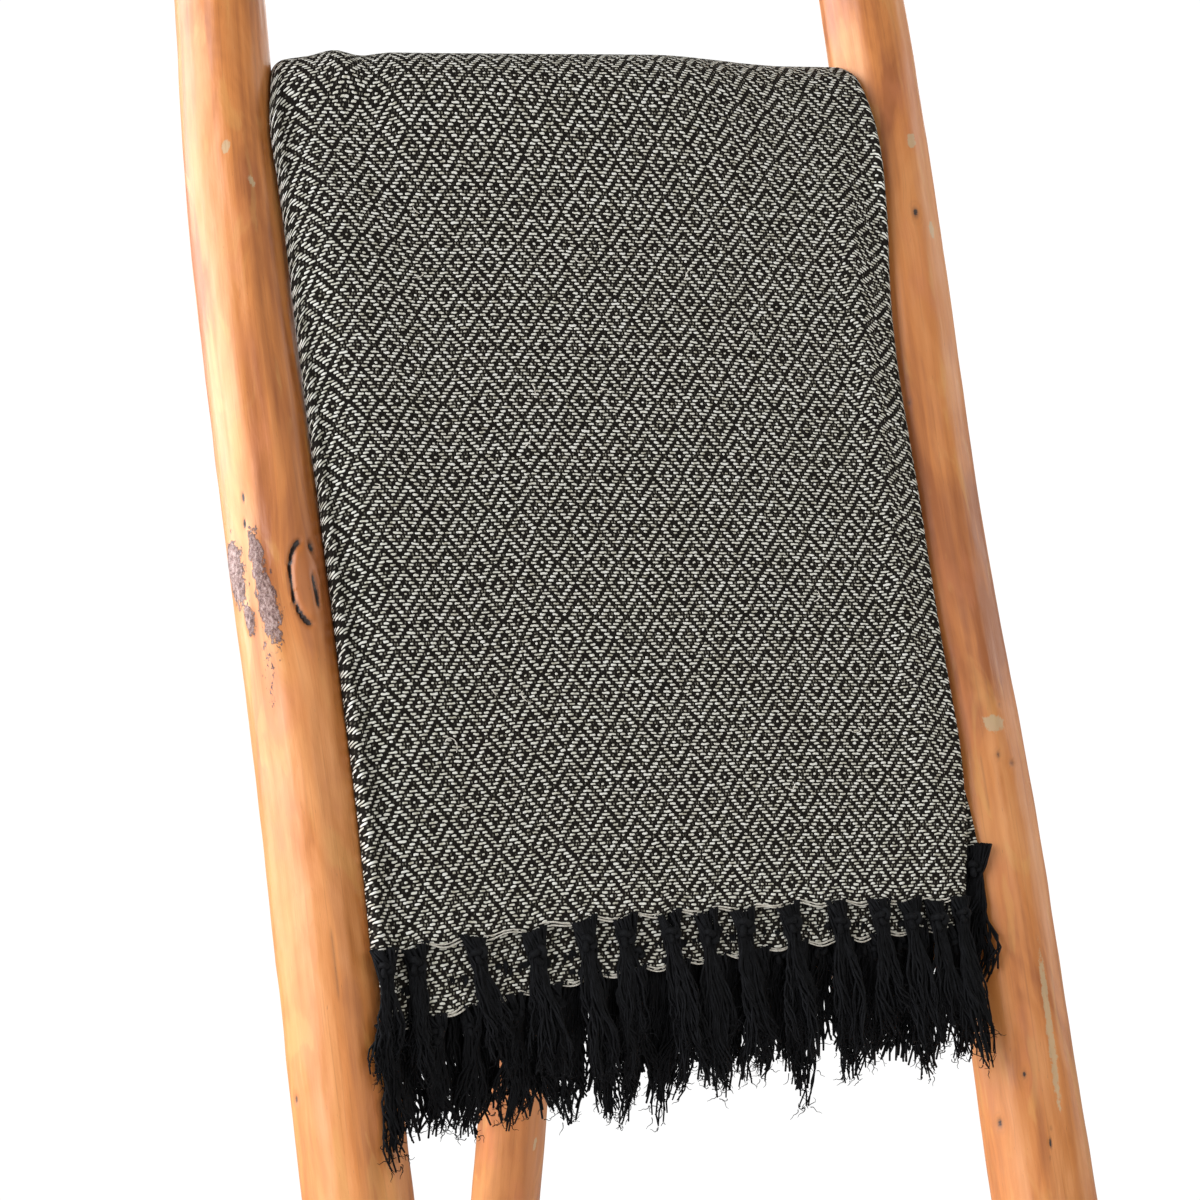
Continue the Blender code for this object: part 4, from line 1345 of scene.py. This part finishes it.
def settle(tassel, x, y, z, room):
    """Moves points forward to what they rest on, and never back again going down."""
    limit = support_line(x, z, tassel["hem"]) - room
    return np.minimum.accumulate(np.minimum(y, limit), axis=-1)


def yarns(tassel, per_hank, points_each, radius):
    """(paths, radii) of the yarns wound round the hanks."""
    q = np.linspace(0, 1, points_each)[None] ** 0.85
    side, depth, lengths = hank_lines(tassel, q)
    knot, start, along_hem = tassel["knot"], tassel["start"], tassel["along"]
    paths = []
    for hank in range(HANKS):
        own = lengths[hank] * (1 + chance.uniform(-0.20, 0.02, (per_hank, 1)))
        drop = q * own
        gathered = smooth_step(0, knot, drop)
        neck = 0.0022 * hump(drop, knot, 0.006)
        width = 0.0070 - 0.0055 * gathered + 0.0016 * smooth_step(knot, 0.06, drop) + neck
        width = width * (1 + 0.10 * smooth_step(0.55, 1.0, q))
        turn = chance.uniform(0, 6.28, (per_hank, 1)) + 5.5 * q + 0.5 * np.sin(9.0 * q + hank)
        tremble = (0.0005 + 0.0009 * q) * np.sin(chance.uniform(9, 22, (per_hank, 1)) * q + turn)
        x = start[0] + side[hank] + width * np.cos(turn) * along_hem[0] + tremble
        out = 0.45 * width * np.sin(turn)
        y = start[1] + depth[hank] + out
        z = start[2] + width * np.cos(turn) * along_hem[2] * (1 - gathered) - drop
        y = settle(tassel, x, y, z, 0.0022 - out - depth[hank])
        paths.append(np.stack([x, y, z], axis=-1))
    paths = np.concatenate(paths)
    radii = radius * (1 - 0.35 * q**3) * np.ones((len(paths), 1))
    return paths, radii


print("yarns fall in", HANKS, "hanks")

# %% Curls and knots
def curls(tassel, bodies, count, points_each, radius):
    """(paths, radii) of fine frayed ends that leave the yarns low down and curl in the plane."""
    chosen = chance.integers(0, len(bodies), count)
    stations_count = bodies.shape[1]
    leave = np.clip(stations_count * (1.04 - 0.5 * chance.uniform(0, 1, count) ** 2.0), 1, stations_count)
    base = bodies[chosen, leave.astype(int) - 1]
    u = np.linspace(0, 1, points_each)[None]
    heading = chance.normal(0, 0.75, (count, 1)) + chance.normal(0, 1.7, (count, 1)) * u
    heading = heading + 0.6 * np.sin(chance.uniform(4, 11, (count, 1)) * u)
    step = chance.uniform(0.002, 0.0090, (count, 1)) / (points_each - 1)
    x = base[:, :1] + np.cumsum(step * np.sin(heading), axis=1)
    z = base[:, 2:] - np.cumsum(step * np.cos(heading), axis=1)
    y = base[:, 1:2] + chance.normal(0, 0.0016, (count, 1)) * u
    y = np.minimum(y, support_line(x, z, tassel["hem"]) - 0.0012)
    return np.stack([x, y, z], axis=-1), radius * (1 - 0.6 * u) * np.ones((count, 1))


def knot_loop(centre, size):
    """The rounded knot: one thick yarn tied as a trefoil, turned a little."""
    t = np.linspace(0, 2 * math.pi, 30)
    spin = chance.uniform(-0.5, 0.5)
    flat_x = np.sin(t) + 2 * np.sin(2 * t)
    flat_z = np.cos(t) - 2 * np.cos(2 * t)
    x = centre[0] + 0.00105 * size * (flat_x * math.cos(spin) - flat_z * math.sin(spin))
    z = centre[2] + 0.00120 * size * (flat_x * math.sin(spin) + flat_z * math.cos(spin))
    y = centre[1] - 0.0004 - 0.0019 * size * np.sin(3 * t)
    path = np.stack([x, y, z], axis=-1)[None]
    return path, np.full((1, len(t)), 0.00165 * size)


print("a fringe of", TASSEL_COUNT, "tassels,", FRINGE_LENGTH, "m long")

# %% [markdown]
# ### Both rows of tassels
#
# The knots are tied by hand, so their places wander, most of all along the outer hem: its
# first two tassels stand close together at the left rail, and the next leaves a wide gap.
# Tassels on the hidden passes get fewer, plainer yarns.

# %% Tassel rows
SHOWN_YARN = 0.00082
HIDDEN_YARN = 0.00115
CURL = 0.00036
FIRST_SHOWN = 14  # the first tassel of the outer panel, counted across the sheet
# Distances from the outer panel's left edge, for the tassels that lie on top.
SHOWN_PLACES = (
    *(-0.001, 0.022, 0.062, 0.104, 0.139, 0.167, 0.198, 0.225),
    *(0.251, 0.285, 0.321, 0.351, 0.374, 0.394, 0.412),
)


def tassel_places(outer):
    """Where each tassel is tied, by distance across the sheet."""
    spread = 0.2 if outer else 0.1
    places = (np.arange(TASSEL_COUNT) + 0.5 + spread * chance.uniform(-1, 1, TASSEL_COUNT)) * TASSEL_PITCH
    places[:2] = (0.002, 0.016)
    if outer:
        places[FIRST_SHOWN : FIRST_SHOWN + len(SHOWN_PLACES)] = OUTER_PASS[0] + np.array(SHOWN_PLACES)
    return places


def tassel_row(name, end_row, places, replaced):
    """All tassels of one end of the sheet."""
    groups = []
    for s in places:
        spots = place_sheet(np.array([s, s - 0.004, s + 0.004]), np.full(3, end_row))
        shown = OUTER_PASS[0] - 0.02 < s < OUTER_PASS[1] + 0.02
        x = spots[0][0]
        hem = (0.0, -0.2)
        if end_row == 0.0 and shown:
            # The outer row lies on the under layer as far as that layer's hem.
            down, out = down_and_out(place_sheet(np.array([s]), np.array([SHEET_LENGTH]))[0])
            hem = (down + 0.003, out + 0.0010)
        leftward = -0.008 if end_row == 0.0 else 0.003
        outward = leftward * smooth_step(-0.165, -0.200, x) - (0.012 if s < 0.02 else 0.0)
        shortened = 0.20 * smooth_step(-0.09, -0.19, x)
        tassel = {
            "start": spots[0] + np.array((0, 0, 0.0015)),
            "along": (spots[2] - spots[1]) / np.linalg.norm(spots[2] - spots[1]),
            "knot": chance.uniform(0.010, 0.016),
            "length": FRINGE_LENGTH * (1 + chance.uniform(-0.09, 0.06) - shortened),
            "lean": outward + chance.normal(0, 0.0035),
            "neck": 0.0018 if shown or abs(x) > 0.17 else 0.0105,
            "hem": hem,
        }
        per_hank, fray, points_each, sides = (9, 120, 13, 4) if shown else (7, 12, 9, 3)
        paths, radii = yarns(tassel, per_hank, points_each, SHOWN_YARN if shown else HIDDEN_YARN)
        groups.append((paths, radii, sides))
        fine_paths, fine_radii = curls(tassel, paths, fray, 6, CURL)
        groups.append((fine_paths, fine_radii, 3))
        neck = paths[:, 2].mean(axis=0)
        neck[2] = tassel["start"][2] - tassel["knot"]
        knot_path, knot_radii = knot_loop(neck, chance.uniform(1.05, 1.40))
        groups.append((knot_path, knot_radii, sides + 1))
    row = tubes_mesh(name, groups, black_yarn)
    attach(row, "throw")
    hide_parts(replaced)
    print(name, sum(len(face.vertices) - 2 for face in row.data.polygons), "triangles")
    return row


outer_places, under_places = tassel_places(True), tassel_places(False)
outer_tassels = tassel_row("outer_tassels", 0.0, outer_places, "outer_fringe")
under_tassels = tassel_row("under_tassels", SHEET_LENGTH, under_places, "under_fringe")

# %% [markdown]
# ### The last picks
#
# Between two tassels nothing holds the last picks of weft, so they sag as short cream threads
# across the gap. Real hems show these clearly against the black, and a few loose ends hang
# on the face of the cloth, so both are thin tubes too.

# %% Hem picks and loose threads
LOOSE_THREADS = 16


def hem_picks():
    """The sagging threads between the tassels that show, on both hems."""
    groups = []
    for end_row, inward, places in ((0.0, 1, outer_places), (SHEET_LENGTH, -1, under_places)):
        for left, right in zip(places, places[1:]):
            if not OUTER_PASS[0] < (left + right) / 2 < OUTER_PASS[1]:
                continue
            for layer in range(2):
                reach = 0.5 * (right - left) - chance.uniform(0.001, 0.006) - 0.002 * layer
                q = np.linspace(-1, 1, 12)
                row = end_row + inward * (0.0005 + 0.0017 * layer) * np.ones_like(q)
                slant = chance.uniform(-0.0011, 0.0011)
                path = place_sheet((left + right) / 2 + chance.uniform(-0.002, 0.002) + reach * q, row)
                path[:, 2] += slant * q - chance.uniform(0.0002, 0.0013) * (1 - q**2)
                path[:, 1] -= 0.0010 + 0.0004 * (1 - q**2)
                thickness = chance.uniform(0.00040, 0.00062) * (1 - 0.5 * q**4)
                groups.append((path[None], thickness[None], 5))
    return groups


def loose_threads():
    """A few curled ends on the face of the outer panel."""
    groups = []
    for _ in range(LOOSE_THREADS):
        s = chance.uniform(OUTER_PASS[0] + 0.03, OUTER_PASS[1] - 0.02)
        t = chance.uniform(0.05, 0.5)
        q = np.linspace(0, 1, 12)
        turn, size = chance.uniform(0, 6.28), chance.uniform(0.004, 0.011)
        curl = chance.uniform(-2.5, 2.5)
        across_path = s + size * np.cos(turn + curl * q) * q
        along_path = t + size * np.sin(turn + curl * q) * q
        path = place_sheet(across_path, along_path)
        lift = 0.0012 + 0.0016 * np.sin(math.pi * q)
        path -= lift[:, None] * RAIL_BACK
        groups.append((path[None], (0.00042 * (1 - 0.4 * q))[None], 5))
    return groups


hem_threads = tubes_mesh("hem_threads", hem_picks(), cream_yarn)
stray_threads = tubes_mesh("stray_threads", loose_threads(), cream_yarn)
for threads in (hem_threads, stray_threads):
    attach(threads, "throw")
print("hem threads", len(hem_threads.data.polygons), "faces")
